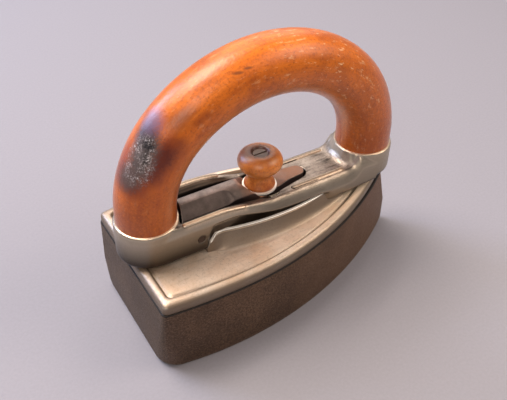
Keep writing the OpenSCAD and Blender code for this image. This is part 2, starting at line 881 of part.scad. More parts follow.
// Half outline of the turned knob from its base to its crown
function knob_outline() =
    let (
        base = knob_base_d / 2,
        neck = knob_neck_d / 2,
        cap = knob_d / 2,
        cap_z = knob_h * 0.72,
        neck_z = knob_h * 0.33
    )
    concat(
        [[0, 0], [base - 0.6, 0], [base, 0.6]],
        [for (i = [0:8]) [neck + (base - neck) * (1 - sin(i * 90 / 8)), 1.6 + (neck_z - 1.6) * i / 8]],
        [for (i = [1:12]) let (a = -65 + i * 135 / 12)
            [cap * (0.42 + 0.58 * cos(a)), cap_z + (knob_h - cap_z) * (a < 0 ? 1.32 : 1.06) * sin(a)]],
        [[4.6, knob_h], [4.2, knob_h - 1], [0, knob_h - 1]]
    );

module wood_knob() {
    color([0.7, 0.33, 0.14])
        translate([knob_x, 0, knob_z + 0.02])
            difference() {
                rotate_extrude($fn = 96)
                    polygon(knob_outline());
                translate([0, 0, -1])
                    cylinder(d = knob_screw_d + 2 * fit, h = far, $fn = 32);
                translate([0, 0, knob_h - 3.2])
                    cylinder(d1 = knob_screw_d + 2 * fit, d2 = 8.4, h = 2.22, $fn = 32);
            }
}

module ring(d, hole, z, t) {
    translate([knob_x, 0, z])
        difference() {
            cylinder(d = d, h = t, $fn = 64);
            translate([0, 0, -1])
                cylinder(d = hole, h = t + 2, $fn = 32);
        }
}

module knob_washer() {
    color([0.85, 0.83, 0.78])
        ring(washer_d, knob_screw_d + 2 * fit, washer_z + 0.02, washer_t - 0.02);
}

module knob_under_washer() {
    color([0.15, 0.14, 0.14])
        ring(washer_d - 0.8, knob_screw_d + 2 * fit, bar_z + 0.02, under_washer_t - 0.02);
}

// Countersunk screw down through the knob, the washers and the lever
module knob_screw() {
    top = knob_z + knob_h - 1.1;
    bottom = bar_under_z - 3.4;
    color([0.5, 0.5, 0.5])
        translate([knob_x, 0, 0])
            difference() {
                union() {
                    translate([0, 0, bottom])
                        cylinder(d = knob_screw_d, h = top - bottom - 1, $fn = 32);
                    translate([0, 0, top - 2.1])
                        cylinder(d1 = knob_screw_d, d2 = 7.8, h = 2.1, $fn = 32);
                }
                translate([-6, -0.5, top - 0.8])
                    cube([12, 1, 2]);
            }
}

module knob_nut() {
    color([0.45, 0.45, 0.45])
        translate([knob_x, 0, bar_under_z - 3.02])
            difference() {
                cylinder(d = 8, h = 3, $fn = 6);
                translate([0, 0, -1])
                    cylinder(d = knob_screw_d + 2 * fit, h = 6, $fn = 32);
            }
}

box_body();
keeper_stud();
keeper_pin();
heating_slug();
lid_casting();
insulating_board();
heat_shield();
shield_screws();
handle_frame();
frame_screws();
wood_grip();
rear_grip_screw();
front_grip_screw();
grip_screw_washers();
latch_pivot_pin();
latch_lever();
latch_spring();
wood_knob();
knob_washer();
knob_under_washer();
knob_screw();
knob_nut();
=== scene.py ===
import bmesh
import bpy
import math
from mathutils import Matrix, Vector


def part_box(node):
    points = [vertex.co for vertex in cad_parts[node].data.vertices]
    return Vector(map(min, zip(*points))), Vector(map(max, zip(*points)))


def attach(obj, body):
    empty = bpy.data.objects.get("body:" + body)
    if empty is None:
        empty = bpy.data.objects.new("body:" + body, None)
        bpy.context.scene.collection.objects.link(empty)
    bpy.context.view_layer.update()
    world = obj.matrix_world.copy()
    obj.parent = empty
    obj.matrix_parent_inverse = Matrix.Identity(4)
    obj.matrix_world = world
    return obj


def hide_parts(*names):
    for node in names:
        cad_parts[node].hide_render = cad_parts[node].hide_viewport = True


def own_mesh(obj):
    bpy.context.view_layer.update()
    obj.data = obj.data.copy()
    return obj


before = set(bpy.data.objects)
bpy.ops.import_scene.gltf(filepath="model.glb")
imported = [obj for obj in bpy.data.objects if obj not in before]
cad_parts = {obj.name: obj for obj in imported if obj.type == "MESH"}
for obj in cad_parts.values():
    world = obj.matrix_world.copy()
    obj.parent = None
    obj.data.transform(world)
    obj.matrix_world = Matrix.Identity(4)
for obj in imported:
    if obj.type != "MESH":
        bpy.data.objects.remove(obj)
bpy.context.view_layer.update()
mm = 0.001
halfPi = math.pi / 2


def nodeBox(node):  # corners of a CAD node, in millimetres
    low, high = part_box(node)
    return low / mm, high / mm


boxLow, boxHigh = nodeBox("box_body")
lidLow, lidHigh = nodeBox("lid_casting")
frameLow, frameHigh = nodeBox("handle_frame")
gripLow, gripHigh = nodeBox("wood_grip")
leverLow, leverHigh = nodeBox("latch_lever")
knobLow, knobHigh = nodeBox("wood_knob")
pinLow, pinHigh = nodeBox("latch_pivot_pin")
slugLow, slugHigh = nodeBox("heating_slug")
washerLow, washerHigh = nodeBox("knob_washer")

# Places shared by several pieces
frameHalf = -frameLow.y
rearPostX = frameLow.x + frameHalf
frontPostX = frameHigh.x - frameHalf
waistX = boxLow.x + 43
pivotX = (pinLow.x + pinHigh.x) / 2
pivotZ = (pinLow.z + pinHigh.z) / 2
knobX = (knobLow.x + knobHigh.x) / 2


# Drawing and lofting in edit mode, as by hand

def openMesh():
    mesh = bmesh.from_edit_mesh(bpy.context.object.data)
    mesh.verts.ensure_lookup_table()
    mesh.verts.index_update()
    return mesh


def startPiece(name):  # an empty mesh object, left in edit mode
    if bpy.context.object and bpy.context.object.mode == "EDIT":
        bpy.ops.object.mode_set(mode="OBJECT")
    bpy.ops.object.select_all(action="DESELECT")
    bpy.ops.mesh.primitive_plane_add(size=mm)
    piece = bpy.context.object
    piece.name = name
    piece.data.name = name
    bpy.ops.object.mode_set(mode="EDIT")
    bpy.ops.mesh.delete(type="VERT")
    return piece


def selectVerts(indices):
    bpy.ops.mesh.select_all(action="DESELECT")
    mesh = openMesh()
    for index in indices:
        mesh.verts[index].select_set(True)
    mesh.select_flush_mode()
    bmesh.update_edit_mesh(bpy.context.object.data)


def drawRing(points, closed=True):  # a vertex extruded from point to point
    bpy.ops.mesh.select_all(action="DESELECT")
    first = len(openMesh().verts)
    bpy.ops.mesh.primitive_plane_add(size=mm, location=Vector(points[0]) * mm)
    bpy.ops.mesh.merge(type="CENTER")
    for here, there in zip(points, points[1:]):
        step = (Vector(there) - Vector(here)) * mm
        bpy.ops.mesh.extrude_region_move(TRANSFORM_OT_translate={"value": step})
    ring = list(range(first, first + len(points)))
    if closed:
        selectVerts([ring[0], ring[-1]])
        bpy.ops.mesh.edge_face_add()
    return ring


def extrudeRing(ring, points):  # the next ring, each vertex moved to its own place
    selectVerts(ring)
    bpy.ops.mesh.extrude_region_move()
    mesh = openMesh()
    following = []
    for index, point in zip(ring, points):
        vert = mesh.verts[index]
        new = [edge.other_vert(vert) for edge in vert.link_edges if edge.other_vert(vert).select]
        new[0].co = Vector(point) * mm
        following.append(new[0].index)
    bmesh.update_edit_mesh(bpy.context.object.data)
    return following


def fillRing(ring):
    selectVerts(ring)
    bpy.ops.mesh.edge_face_add()


def turnOutwards(start):  # the shell drawn since that vertex: poles merged, faces out
    selectVerts(range(start, len(openMesh().verts)))
    bpy.ops.mesh.remove_doubles(threshold=0.0001 * mm)
    bpy.ops.mesh.normals_make_consistent(inside=False)
    shell = [face for face in openMesh().faces if face.select]
    volume = sum(face.calc_center_median().dot(face.normal) * face.calc_area() for face in shell)
    if volume < 0:
        bpy.ops.mesh.flip_normals()


def loft(rings):  # a closed skin over rings with equal numbers of points
    start = len(openMesh().verts)
    ring = drawRing(rings[0])
    fillRing(ring)
    for points in rings[1:]:
        ring = extrudeRing(ring, points)
    turnOutwards(start)


def turnProfile(points, centre, steps=96):  # a profile in X and Z spun about an upright axis
    start = len(openMesh().verts)
    ring = drawRing([(centre[0] + x, centre[1], z) for x, z in points], closed=False)
    selectVerts(ring)
    bpy.ops.mesh.spin(steps=steps, angle=2 * math.pi, center=Vector((centre[0], centre[1], 0)) * mm,
                      axis=(0, 0, 1))
    turnOutwards(start)


def select(*pieces):
    bpy.ops.object.select_all(action="DESELECT")
    for piece in pieces:
        piece.select_set(True)
    bpy.context.view_layer.objects.active = pieces[0]


def applyModifier(piece, kind, **settings):
    select(piece)
    modifier = piece.modifiers.new(kind.title(), kind)
    for name, value in settings.items():
        setattr(modifier, name, value)
    bpy.ops.object.modifier_apply(modifier=modifier.name)


def combine(piece, tool, operation):  # boolean with a tool that is then thrown away
    applyModifier(piece, "BOOLEAN", operation=operation, object=tool, solver="MANIFOLD")
    bpy.data.objects.remove(tool, do_unlink=True)


def finishPiece(piece, body, material, nodes, smoothAngle=30):
    select(piece)
    bpy.ops.object.shade_smooth_by_angle(angle=math.radians(smoothAngle))
    piece.data.materials.clear()
    piece.data.materials.append(material)
    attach(piece, body)
    if nodes:
        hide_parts(*nodes)
    piece.data.calc_loop_triangles()
    print("%s: %d triangles" % (piece.name, len(piece.data.loop_triangles)))


def arc(x, y, radius, start, end, steps):
    angles = [start + (end - start) * i / steps for i in range(steps + 1)]
    return [(x + radius * math.cos(a), y + radius * math.sin(a)) for a in angles]


def mix(a, b, t):
    return a + (b - a) * t


def ramp(x, start, end):  # smooth step from 0 to 1
    t = min(max((x - start) / (end - start), 0), 1)
    return t * t * (3 - 2 * t)


def planOutline(tip, back, half, backHalf, tipRound, backRound):
    run = tip - waistX
    sideRadius = ((run - tipRound) ** 2 / (half - tipRound) + tipRound + half) / 2
    turn = math.atan2(sideRadius - half, run - tipRound)
    backRun = waistX - back - backRound
    drop = half - backHalf
    rearRadius = (backRun ** 2 + drop ** 2) / (2 * drop)
    left = arc(tip - tipRound, 0, tipRound, 0, turn, 8)
    left += arc(waistX, half - sideRadius, sideRadius, turn, halfPi, 36)[1:]
    left += arc(waistX, half - rearRadius, rearRadius, halfPi, halfPi + math.asin(backRun / rearRadius), 8)[1:]
    left += arc(back + backRound, backHalf - backRound, backRound, halfPi, math.pi, 6)[1:]
    return left + [(x, -y) for x, y in reversed(left[1:])]


# Materials

def linear(hexColour):
    channels = [int(hexColour[i:i + 2], 16) / 255 for i in (1, 3, 5)]
    curve = [c / 12.92 if c <= 0.04045 else ((c + 0.055) / 1.055) ** 2.4 for c in channels]
    return (*curve, 1)


def addNode(tree, kind, inputs=None, **settings):
    node = tree.nodes.new("ShaderNode" + kind)
    for name, value in settings.items():
        setattr(node, name, value)
    for socket, value in (inputs or {}).items():
        if isinstance(value, bpy.types.NodeSocket):
            tree.links.new(value, node.inputs[socket])
        else:
            node.inputs[socket].default_value = value
    return node


def newMaterial(name, **shader):
    material = bpy.data.materials.new(name)
    material.use_nodes = True
    tree = material.node_tree
    principled = tree.nodes["Principled BSDF"]
    for socket, value in shader.items():
        principled.inputs[socket.replace("_", " ")].default_value = value
    place = addNode(tree, "TexCoord").outputs["Object"]
    return material, tree, principled, place


def perMm(size):  # noise scale for a feature of that many millimetres
    return 1 / (size * mm)


def noise(tree, place, size, detail=3, roughness=0.55):
    return addNode(tree, "TexNoise", {"Vector": place, "Scale": perMm(size), "Detail": detail,
                                      "Roughness": roughness}).outputs["Fac"]


def band(tree, value, low, high, toLow=0.0, toHigh=1.0):
    return addNode(tree, "MapRange", {"Value": value, "From Min": low, "From Max": high, "To Min": toLow,
                                      "To Max": toHigh}, clamp=True).outputs["Result"]


def blend(tree, factor, first, second):
    colours = {6 + i: linear(c) if isinstance(c, str) else c for i, c in enumerate((first, second))}
    return addNode(tree, "Mix", {0: factor, **colours}, data_type="RGBA").outputs[2]


def calc(tree, operation, *values):
    return addNode(tree, "Math", dict(enumerate(values)), operation=operation).outputs[0]


def bump(tree, principled, height, depth, strength=1.0):
    normal = addNode(tree, "Bump", {"Height": height, "Distance": depth * mm, "Strength": strength})
    tree.links.new(normal.outputs["Normal"], principled.inputs["Normal"])
    return normal.outputs["Normal"]


def link(tree, output, principled, socket):
    tree.links.new(output, principled.inputs[socket])


def castIron():  # sand-cast iron, brown with old rust and grease: dull, with a coarse grain
    material, tree, principled, place = newMaterial("castIron", Metallic=0.35)
    patches = noise(tree, place, 22, 4)
    grain = noise(tree, place, 0.9, 4, 0.7)
    colour = blend(tree, band(tree, patches, 0.35, 0.65), "#503A2A", "#664C38")
    colour = blend(tree, band(tree, grain, 0.48, 0.62, 0, 0.7), colour, "#34281F")
    colour = blend(tree, band(tree, grain, 0.46, 0.34, 0, 0.5), colour, "#7C6450")
    parts = addNode(tree, "SeparateXYZ", {0: place}).outputs
    # lighter towards the front: painted light
    colour = blend(tree, band(tree, parts["X"], -20 * mm, 60 * mm, 0, 0.5), colour, "#80604A")
    facing = addNode(tree, "SeparateXYZ", {0: addNode(tree, "NewGeometry").outputs["True Normal"]}).outputs
    # the wall facing the rear greyer and lighter: painted light
    rearWallLight = band(tree, facing["X"], -0.6, -0.9)
    colour = blend(tree, calc(tree, "MULTIPLY", rearWallLight, 0.4), colour, "#5C5248")
    sole = band(tree, facing["Z"], -0.8, -0.98)
    colour = blend(tree, sole, colour, "#8E8A84")
    bend = addNode(tree, "NewGeometry").outputs["Pointiness"]
    worn = calc(tree, "ADD", band(tree, bend, 0.515, 0.56, 0, 0.3), band(tree, parts["Z"], 4 * mm, 1 * mm, 0, 0.35))
    worn = calc(tree, "MULTIPLY", worn, band(tree, grain, 0.6, 0.4))
    colour = blend(tree, worn, colour, "#A08468")  # edges that the board and the stand rub
    # a near-black band just below the lid's edge: painted shade in the gap between box and lid
    jointGapShade = band(tree, parts["Z"], (boxHigh.z - 1.2) * mm, (boxHigh.z - 0.6) * mm, 0, 0.95)
    colour = blend(tree, jointGapShade, colour, "#100C0A")
    link(tree, colour, principled, "Base Color")
    link(tree, band(tree, grain, 0.3, 0.8, 0.5, 0.72), principled, "Roughness")
    bump(tree, principled, calc(tree, "ADD", grain, calc(tree, "MULTIPLY", patches, 2)), 0.26)
    return material


def slugIron():  # iron heated many times: blue-black scale
    material, tree, principled, place = newMaterial("slugIron", Metallic=0.3, Roughness=0.75)
    scale = noise(tree, place, 4, 5, 0.65)
    colour = blend(tree, band(tree, scale, 0.4, 0.62), "#33302F", "#4B3A31")
    link(tree, colour, principled, "Base Color")
    bump(tree, principled, scale, 0.25)
    return material


def strip(tree, parts, y, half, x0, x1):  # mask of two long marks beside the middle line
    side = calc(tree, "ABSOLUTE", calc(tree, "SUBTRACT", calc(tree, "ABSOLUTE", parts["Y"]), y * mm))
    across = band(tree, side, (half + 0.2) * mm, (half - 0.5) * mm)
    along = calc(tree, "MULTIPLY", band(tree, parts["X"], x0 * mm, (x0 + 3) * mm),
                 band(tree, parts["X"], x1 * mm, (x1 - 2) * mm))
    high = band(tree, parts["Z"], 58 * mm, 60 * mm)
    return calc(tree, "MULTIPLY", calc(tree, "MULTIPLY", across, along), high)


def nickelPlate(name, metallic, clean, stained, grimeAndShade, rubbedAndHighlight, tarnishAndPaintedSideLight, steep, rubsAndHighlights=(), lip=None, low=None, streaky=0.2, speckled=0.42, rough=0.3):  # nickel on cast iron, yellowed
    material, tree, principled, place = newMaterial(name, Metallic=metallic)
    parts = addNode(tree, "SeparateXYZ", {0: place}).outputs
    clouds = noise(tree, place, 16, 4, 0.6)
    specks = noise(tree, place, 1.1, 5, 0.75)
    colour = blend(tree, band(tree, clouds, 0.38, 0.62), clean, stained)
    colour = blend(tree, band(tree, specks, 0.52, 0.7, 0, speckled), colour, grimeAndShade)
    drawn = addNode(tree, "CombineXYZ", {0: calc(tree, "MULTIPLY", parts["X"], 0.2), 1: parts["Y"], 2: parts["Z"]})
    streaks = noise(tree, drawn.outputs[0], 2.2, 4, 0.65)
    colour = blend(tree, band(tree, streaks, 0.5, 0.68, 0, streaky), colour, grimeAndShade)
    colour = blend(tree, band(tree, parts["X"], -20 * mm, -75 * mm, 0, 0.42), colour, grimeAndShade)  # darker towards the rear: painted shade
    # lighter towards the front of the lid: painted light
    if not low:
        colour = blend(tree, band(tree, parts["X"], -20 * mm, 50 * mm, 0, 0.6), colour, "#FFE6C8")
    surface = addNode(tree, "NewGeometry").outputs
    upward = addNode(tree, "SeparateXYZ", {0: surface["Normal"]}).outputs["Z"]
    colour = blend(tree, band(tree, upward, *steep, 0, 0.85), colour, tarnishAndPaintedSideLight)  # steep sides: darker on the lid, partly tarnish and partly painted shade; lighter on the frame, painted light
    # faces turned downwards darkened: painted shade under overhangs
    colour = blend(tree, band(tree, upward, 0.05, -0.3, 0, 0.8), colour, grimeAndShade)
    bend = surface["Pointiness"]
    # hollows and creases darkened: dirt and painted shade
    colour = blend(tree, band(tree, bend, 0.495, 0.445, 0, 0.7), colour, grimeAndShade)
    # upward convex edges brightened: rubbed wear and painted highlight
    edges = calc(tree, "MULTIPLY", band(tree, bend, 0.53, 0.62, 0, 0.7), band(tree, upward, 0.1, 0.5))
    colour = blend(tree, edges, colour, rubbedAndHighlight)
    # strips along the beads brightened: rubbed wear and painted highlight
    for rub in rubsAndHighlights:
        mask = calc(tree, "MULTIPLY", strip(tree, parts, *rub), band(tree, specks, 0.3, 0.6, 1, 0.5))
        colour = blend(tree, mask, colour, rubbedAndHighlight)
    if low:  # darker towards the bottom of the boots, and painted shade in the slot
        darkerLow = calc(tree, "MULTIPLY", band(tree, parts["Z"], low[0] * mm, low[1] * mm),
                       band(tree, parts["X"], 30 * mm, -20 * mm, 0.3, 0.95))
        colour = blend(tree, darkerLow, colour, grimeAndShade)
        aside = calc(tree, "ABSOLUTE", parts["Y"])
        # slopes beside the slot darkened: painted shade
        slotSlopeShade = calc(tree, "MULTIPLY", band(tree, aside, 13.2 * mm, 12.4 * mm), band(tree, upward, 0.985, 0.9, 0, 0.85))
        slotSlopeShade = calc(tree, "MULTIPLY", slotSlopeShade, band(tree, parts["X"], (knobX + 4) * mm, (knobX - 4) * mm))
        slotSlopeShade = calc(tree, "MULTIPLY", slotSlopeShade, band(tree, parts["X"], (rearPostX + 15) * mm, (rearPostX + 17) * mm))
        colour = blend(tree, slotSlopeShade, colour, "#4E4034")
        # the slot's walls near black: painted shade
        wall = calc(tree, "MULTIPLY", band(tree, aside, 12.2 * mm, 11.2 * mm),
                    band(tree, parts["X"], 26 * mm, 24 * mm))
        wall = calc(tree, "MULTIPLY", wall, band(tree, parts["X"], (rearPostX + 12) * mm, (rearPostX + 14) * mm))
        wall = calc(tree, "MULTIPLY", wall, band(tree, upward, 0.92, 0.7))
        colour = blend(tree, wall, colour, "#2A231F")
    if lip:  # the lip's top edge and the boots' top rims brightened, more on the -Y side: rubbed wear and painted highlight
        topZ, fallStart, fallEnd, fall = [v * mm for v in lip]
        drop = addNode(tree, "MapRange", {"Value": parts["X"], "From Min": fallStart, "From Max": fallEnd,
                                          "To Max": fall}, interpolation_type="SMOOTHSTEP").outputs["Result"]
        height = calc(tree, "ADD", parts["Z"], drop)
        bright = calc(tree, "MULTIPLY", band(tree, height, topZ - 0.5 * mm, topZ - 0.2 * mm),
                      band(tree, parts["Y"], 2 * mm, -6 * mm, 0.15, 1))
        colour = blend(tree, bright, colour, rubbedAndHighlight)
    link(tree, colour, principled, "Base Color")
    link(tree, band(tree, specks, 0.35, 0.7, rough, rough + 0.18), principled, "Roughness")
    bump(tree, principled, calc(tree, "ADD", specks, calc(tree, "MULTIPLY", clouds, 3)), 0.07)
    return material


def forgedSteel():  # forged steel bar, grey with a purple heat tint and rust by the knob
    material, tree, principled, place = newMaterial("forgedSteel", Metallic=0.7)
    clouds = noise(tree, place, 6, 4, 0.6)
    specks = noise(tree, place, 0.7, 4, 0.7)
    along = addNode(tree, "SeparateXYZ", {0: place}).outputs["X"]
    colour = blend(tree, band(tree, clouds, 0.35, 0.65), "#70645E", "#96867E")
    nearKnob = band(tree, along, (knobX - 16) * mm, (knobX - 9) * mm)
    rust = calc(tree, "MULTIPLY", nearKnob, band(tree, clouds, 0.3, 0.55, 0.55, 1))
    link(tree, band(tree, rust, 0, 1, 0.7, 0.1), principled, "Metallic")
    onTip = band(tree, along, knobX * mm, (knobX + 6) * mm)
    colour = blend(tree, rust, colour, blend(tree, onTip, "#D88E60", "#7E543A"))
    upward = addNode(tree, "SeparateXYZ", {0: addNode(tree, "NewGeometry").outputs["Normal"]}).outputs["Z"]
    # chamfers and sides darker than the top: painted shade
    colour = blend(tree, band(tree, upward, 0.93, 0.82, 0, 0.7), colour, "#342B29")
    colour = blend(tree, band(tree, upward, 0.45, 0.2, 0, 0.8), colour, "#2A2224")
    colour = blend(tree, band(tree, specks, 0.58, 0.72, 0, 0.6), colour, "#3A3033")
    bend = addNode(tree, "NewGeometry").outputs["Pointiness"]
    # convex edges brightened: rubbed wear and painted highlight
    colour = blend(tree, band(tree, bend, 0.53, 0.6, 0, 0.8), colour, "#C8B8AE")
    link(tree, colour, principled, "Base Color")
    link(tree, band(tree, specks, 0.3, 0.7, 0.34, 0.5), principled, "Roughness")
    bump(tree, principled, specks, 0.08)
    return material


def varnishedWood(name, bright, mid, dark, darkerBelow, bend=None, burns=(), char=None):  # beech, turned and bent, old shellac
    material, tree, principled, place = newMaterial(name, IOR=1.45, Specular_IOR_Level=0.15, Coat_Weight=1,
                                                    Coat_IOR=1.45, Coat_Roughness=0.3)
    parts = addNode(tree, "SeparateXYZ", {0: place}).outputs
    if bend:  # the grain runs round the bend
        across = calc(tree, "SUBTRACT", parts["X"], bend[0] * mm)
        up = calc(tree, "SUBTRACT", parts["Z"], bend[1] * mm)
        angle = calc(tree, "ARCTAN2", up, across)
        reach = calc(tree, "SQRT", calc(tree, "ADD", calc(tree, "MULTIPLY", across, across),
                                        calc(tree, "MULTIPLY", up, up)))
        grainPlace, chipPlace = [addNode(tree, "CombineXYZ", {
            0: calc(tree, "MULTIPLY", angle, bend[2] * mm * stretch), 1: parts["Y"], 2: reach}).outputs[0]
            for stretch in (0.08, 0.4)]
    else:
        grainPlace = addNode(tree, "CombineXYZ", {
            0: parts["X"], 1: parts["Y"], 2: calc(tree, "MULTIPLY", parts["Z"], 0.12)}).outputs[0]
    streaks = noise(tree, grainPlace, 2.4, 5, 0.65)
    fine = noise(tree, grainPlace, 0.7, 3, 0.6)
    clouds = noise(tree, place, 14, 4, 0.6)
    colour = blend(tree, band(tree, streaks, 0.3, 0.7), bright, mid)
    colour = blend(tree, band(tree, clouds, 0.45, 0.75, 0, 0.6), colour, dark)
    colour = blend(tree, band(tree, fine, 0.6, 0.75, 0, 0.3), colour, dark)
    # darker towards the bottom
    colour = blend(tree, band(tree, parts["Z"], darkerBelow[0] * mm, darkerBelow[1] * mm, 0, 0.55), colour, dark)
    speckle = noise(tree, place, 1.3, 4, 0.75)
    colour = blend(tree, band(tree, speckle, 0.52, 0.66, 0, 0.6), colour, dark)
    colour = blend(tree, band(tree, speckle, 0.44, 0.3, 0, 0.6), colour, bright)

    def spot(centre, size):  # 0 in the middle of a ragged round mark, 1 near its edge
        away = addNode(tree, "VectorMath", {0: place, 1: Vector(centre) * mm}, operation="SUBTRACT").outputs[0]
        scaled = addNode(tree, "VectorMath", {0: away, 1: [1 / (s * mm) for s in size]},
                         operation="MULTIPLY").outputs[0]
        distance = addNode(tree, "VectorMath", {0: scaled}, operation="LENGTH").outputs["Value"]
        ragged = calc(tree, "ADD", distance, band(tree, clouds, 0.3, 0.7, -0.15, 0.15))
        return calc(tree, "ADD", ragged, band(tree, speckle, 0.3, 0.7, -0.2, 0.2))

    if char:  # flecks where the varnish is worn through, most on the front of the top
        chips = noise(tree, chipPlace, 1.9, 4, 0.7)
        worn = calc(tree, "MULTIPLY", band(tree, parts["X"], -20 * mm, 25 * mm, 0.25, 1),
                    band(tree, parts["Z"], 90 * mm, 130 * mm, 0.3, 1))
        worn = calc(tree, "MULTIPLY", worn, band(tree, clouds, 0.35, 0.6, 0.3, 1))
        worn = calc(tree, "MULTIPLY", worn, band(tree, chips, 0.58, 0.66, 0, 0.8))
        colour = blend(tree, worn, colour, "#F4CC9C")
    for centre, size, shade, strength in burns:
        colour = blend(tree, band(tree, spot(centre, size), 1.3, 0.5, 0, strength), colour, shade)
    if char:  # blistered varnish glints on the charred patch
        patchy = noise(tree, place, 4.5, 3, 0.6)
        inside = calc(tree, "MULTIPLY", band(tree, spot(*char), 1.1, 0.7), band(tree, patchy, 0.4, 0.56, 0.1, 1))
        grit = noise(tree, place, 0.8, 3, 0.7)
        dull = calc(tree, "MULTIPLY", inside, band(tree, grit, 0.46, 0.58, 0, 0.75))
        sharp = calc(tree, "MULTIPLY", inside, band(tree, grit, 0.63, 0.68, 0, 0.9))
        colour = blend(tree, sharp, blend(tree, dull, colour, "#A89E9E"), "#F0EAEE")
    link(tree, colour, principled, "Base Color")
    link(tree, band(tree, fine, 0.35, 0.7, 0.34, 0.5), principled, "Roughness")
    height = calc(tree, "ADD", streaks, calc(tree, "MULTIPLY", clouds, 2))
    dents = bump(tree, principled, calc(tree, "ADD", height, calc(tree, "MULTIPLY", speckle, 2)), 0.07)
    link(tree, dents, principled, "Coat Normal")
    return material


def plainMetal(name, colour, dirt, metallic, roughness):  # machined steel with a little dirt
    material, tree, principled, place = newMaterial(name, Metallic=metallic)
    specks = noise(tree, place, 1.2, 4, 0.7)
    link(tree, blend(tree, band(tree, specks, 0.5, 0.75, 0, 0.6), colour, dirt), principled, "Base Color")
    link(tree, band(tree, specks, 0.3, 0.7, roughness, roughness + 0.15), principled, "Roughness")
    bump(tree, principled, specks, 0.02)
    return material


def millboard():  # pressed mineral fibre board, off-white and soft
    material, tree, principled, place = newMaterial("millboard", Roughness=0.95)
    fibre = noise(tree, place, 1.5, 5, 0.7)
    link(tree, blend(tree, band(tree, fibre, 0.35, 0.65), "#C9C2B2", "#A79F8C"), principled, "Base Color")
    bump(tree, principled, fibre, 0.15)
    return material


boxMetal = castIron()
slugMetal = slugIron()
lidMetal = nickelPlate("nickelPlateLid", 0.5, "#E8D6C4", "#DEC2A8", "#645040", "#FFFAF2", "#6C5C4C", (0.985, 0.8),
                       lip=(lidHigh.z, -38, -42.5, 2.3), rough=0.34)
frameRubsAndHighlights = [(14.2, 1.6, rearPostX + 12, -20), (10.1, 1.7, 8, 43)]
frameMetal = nickelPlate("nickelPlateFrame", 0.8, "#B2A396", "#786A5F", "#362D26", "#F0D8BC", "#BEB09C", (0.9, 0.4),
                         frameRubsAndHighlights, (frameHigh.z, 200, 201, 0), (65, 52), 0.9, 0.7)
leverMetal = forgedSteel()
bendCentre = ((rearPostX + frontPostX) / 2, 73.5, (frontPostX - rearPostX) / 2)
gripBurns = [  # centre, reach, colour, strength: a scorched halo, then the charred middle, a lavender patch of painted reflection, then stray marks
    ((-68, -7, 109), (12, 11, 17), "#9A4216", 0.6),
    ((-59, -13.5, 115), (7, 5, 6.5), "#6A220A", 0.7),
    ((-64, -12.8, 110), (7, 5, 7), "#561A08", 0.9),
    ((-69.5, -11.8, 104), (7, 5, 7), "#5E1C08", 0.85),
    ((-76.2, -7.5, 96.5), (7, 6.5, 6), "#6A240C", 0.8),
    ((-74, 1, 106), (6, 6, 8), "#8A3A24", 0.7),
    ((-78, 0, 99), (6, 7, 7), "#6E2A1C", 0.8),
    ((-65.5, -4, 118.5), (6.5, 6, 6.5), "#2A2226", 0.95),
    ((-68.5, -6.5, 113.5), (7, 6.5, 7), "#4C4444", 0.95),
    ((-71.5, -7.3, 108), (7, 6.5, 7), "#544C4A", 0.95),
    ((-75, -6, 102.3), (6.5, 6.5, 7), "#4C4240", 0.9),
    ((-66.8, -7, 115), (3.4, 3.4, 3.2), "#161214", 0.95),
    ((-70.5, -9.5, 110.5), (2.4, 2.4, 3), "#1E1816", 0.8),
    ((-77.3, -5, 98.2), (5.5, 6, 5.5), "#50403A", 0.8),
    # lavender: painted reflection of the bluish sky light
    ((-61.5, -2.5, 123), (6, 6.5, 6), "#6E5870", 0.8),
    ((-54.5, -10.5, 124.6), (6, 4, 4.5), "#7A3A10", 0.6),
    ((-49.5, -11, 128), (6, 2.6, 3.2), "#7A3A10", 0.5),
    ((-46.5, -14, 124.3), (3, 2, 2), "#7A2E08", 0.5),
    ((-42.6, -14.2, 126.4), (3.2, 2, 2), "#7A2E08", 0.45),
    ((-24.8, -11, 140.7), (2.8, 1.4, 0.6), "#5A2A12", 0.7),
    ((-19.9, -11.1, 141.8), (2.2, 1.2, 0.5), "#5A2A12", 0.7),
]
gripWood = varnishedWood("varnishedBeechGrip", "#DC7410", "#BE5C0E", "#863606", (118, 72), bendCentre,
                         gripBurns, ((-72, -6.5, 107.5), (8.5, 7, 15)))
knobBurns = [((knobX - 6, 4, knobHigh.z - 2), (9, 8, 6), "#452218", 0.8),
             ((knobX, 0, knobHigh.z - 0.5), (9.5, 9.5, 3.2), "#361A12", 0.95)]
knobWood = varnishedWood("varnishedBeechKnob", "#F29A44", "#CC7230", "#823614", (knobLow.z + 9, knobLow.z), burns=knobBurns)
brightMetal = plainMetal("brightNickelSteel", "#FFF8EE", "#CFC4B4", 0.3, 0.3)
steelMetal = plainMetal("turnedSteel", "#8A847C", "#4E463F", 0.8, 0.38)
pinMetal = plainMetal("pinSteel", "#4A3A30", "#2A2018", 0.4, 0.5)
agedScrew = plainMetal("agedScrew", "#5E5048", "#32281F", 0.4, 0.5)
# near-black steel for the washer under the knob, partly painted shade beneath the bright washer
underWasherShade = plainMetal("blackedSteelAndShade", "#26211F", "#14110F", 0.5, 0.5)
tinPlate = plainMetal("tinnedSheet", "#8E8C88", "#5E5850", 0.8, 0.4)
boardStuff = millboard()
print("materials made: %d" % len([m for m in bpy.data.materials if m.use_nodes]))


# The box: cast shell with a rounded sole edge and the cavity for the slug
boxSizes = {
    "noseRake": 6.5, "rearDraft": 2, "sideDraft": 0.8, "noseRound": 5, "rearHalf": 40.5, "wall": 6,
    "noseSolid": 15, "soleT": 8, "ribH": 3, "ribW": 5, "bossR": 7.4, "bossH": 6, "keeperX": -15.85,
}


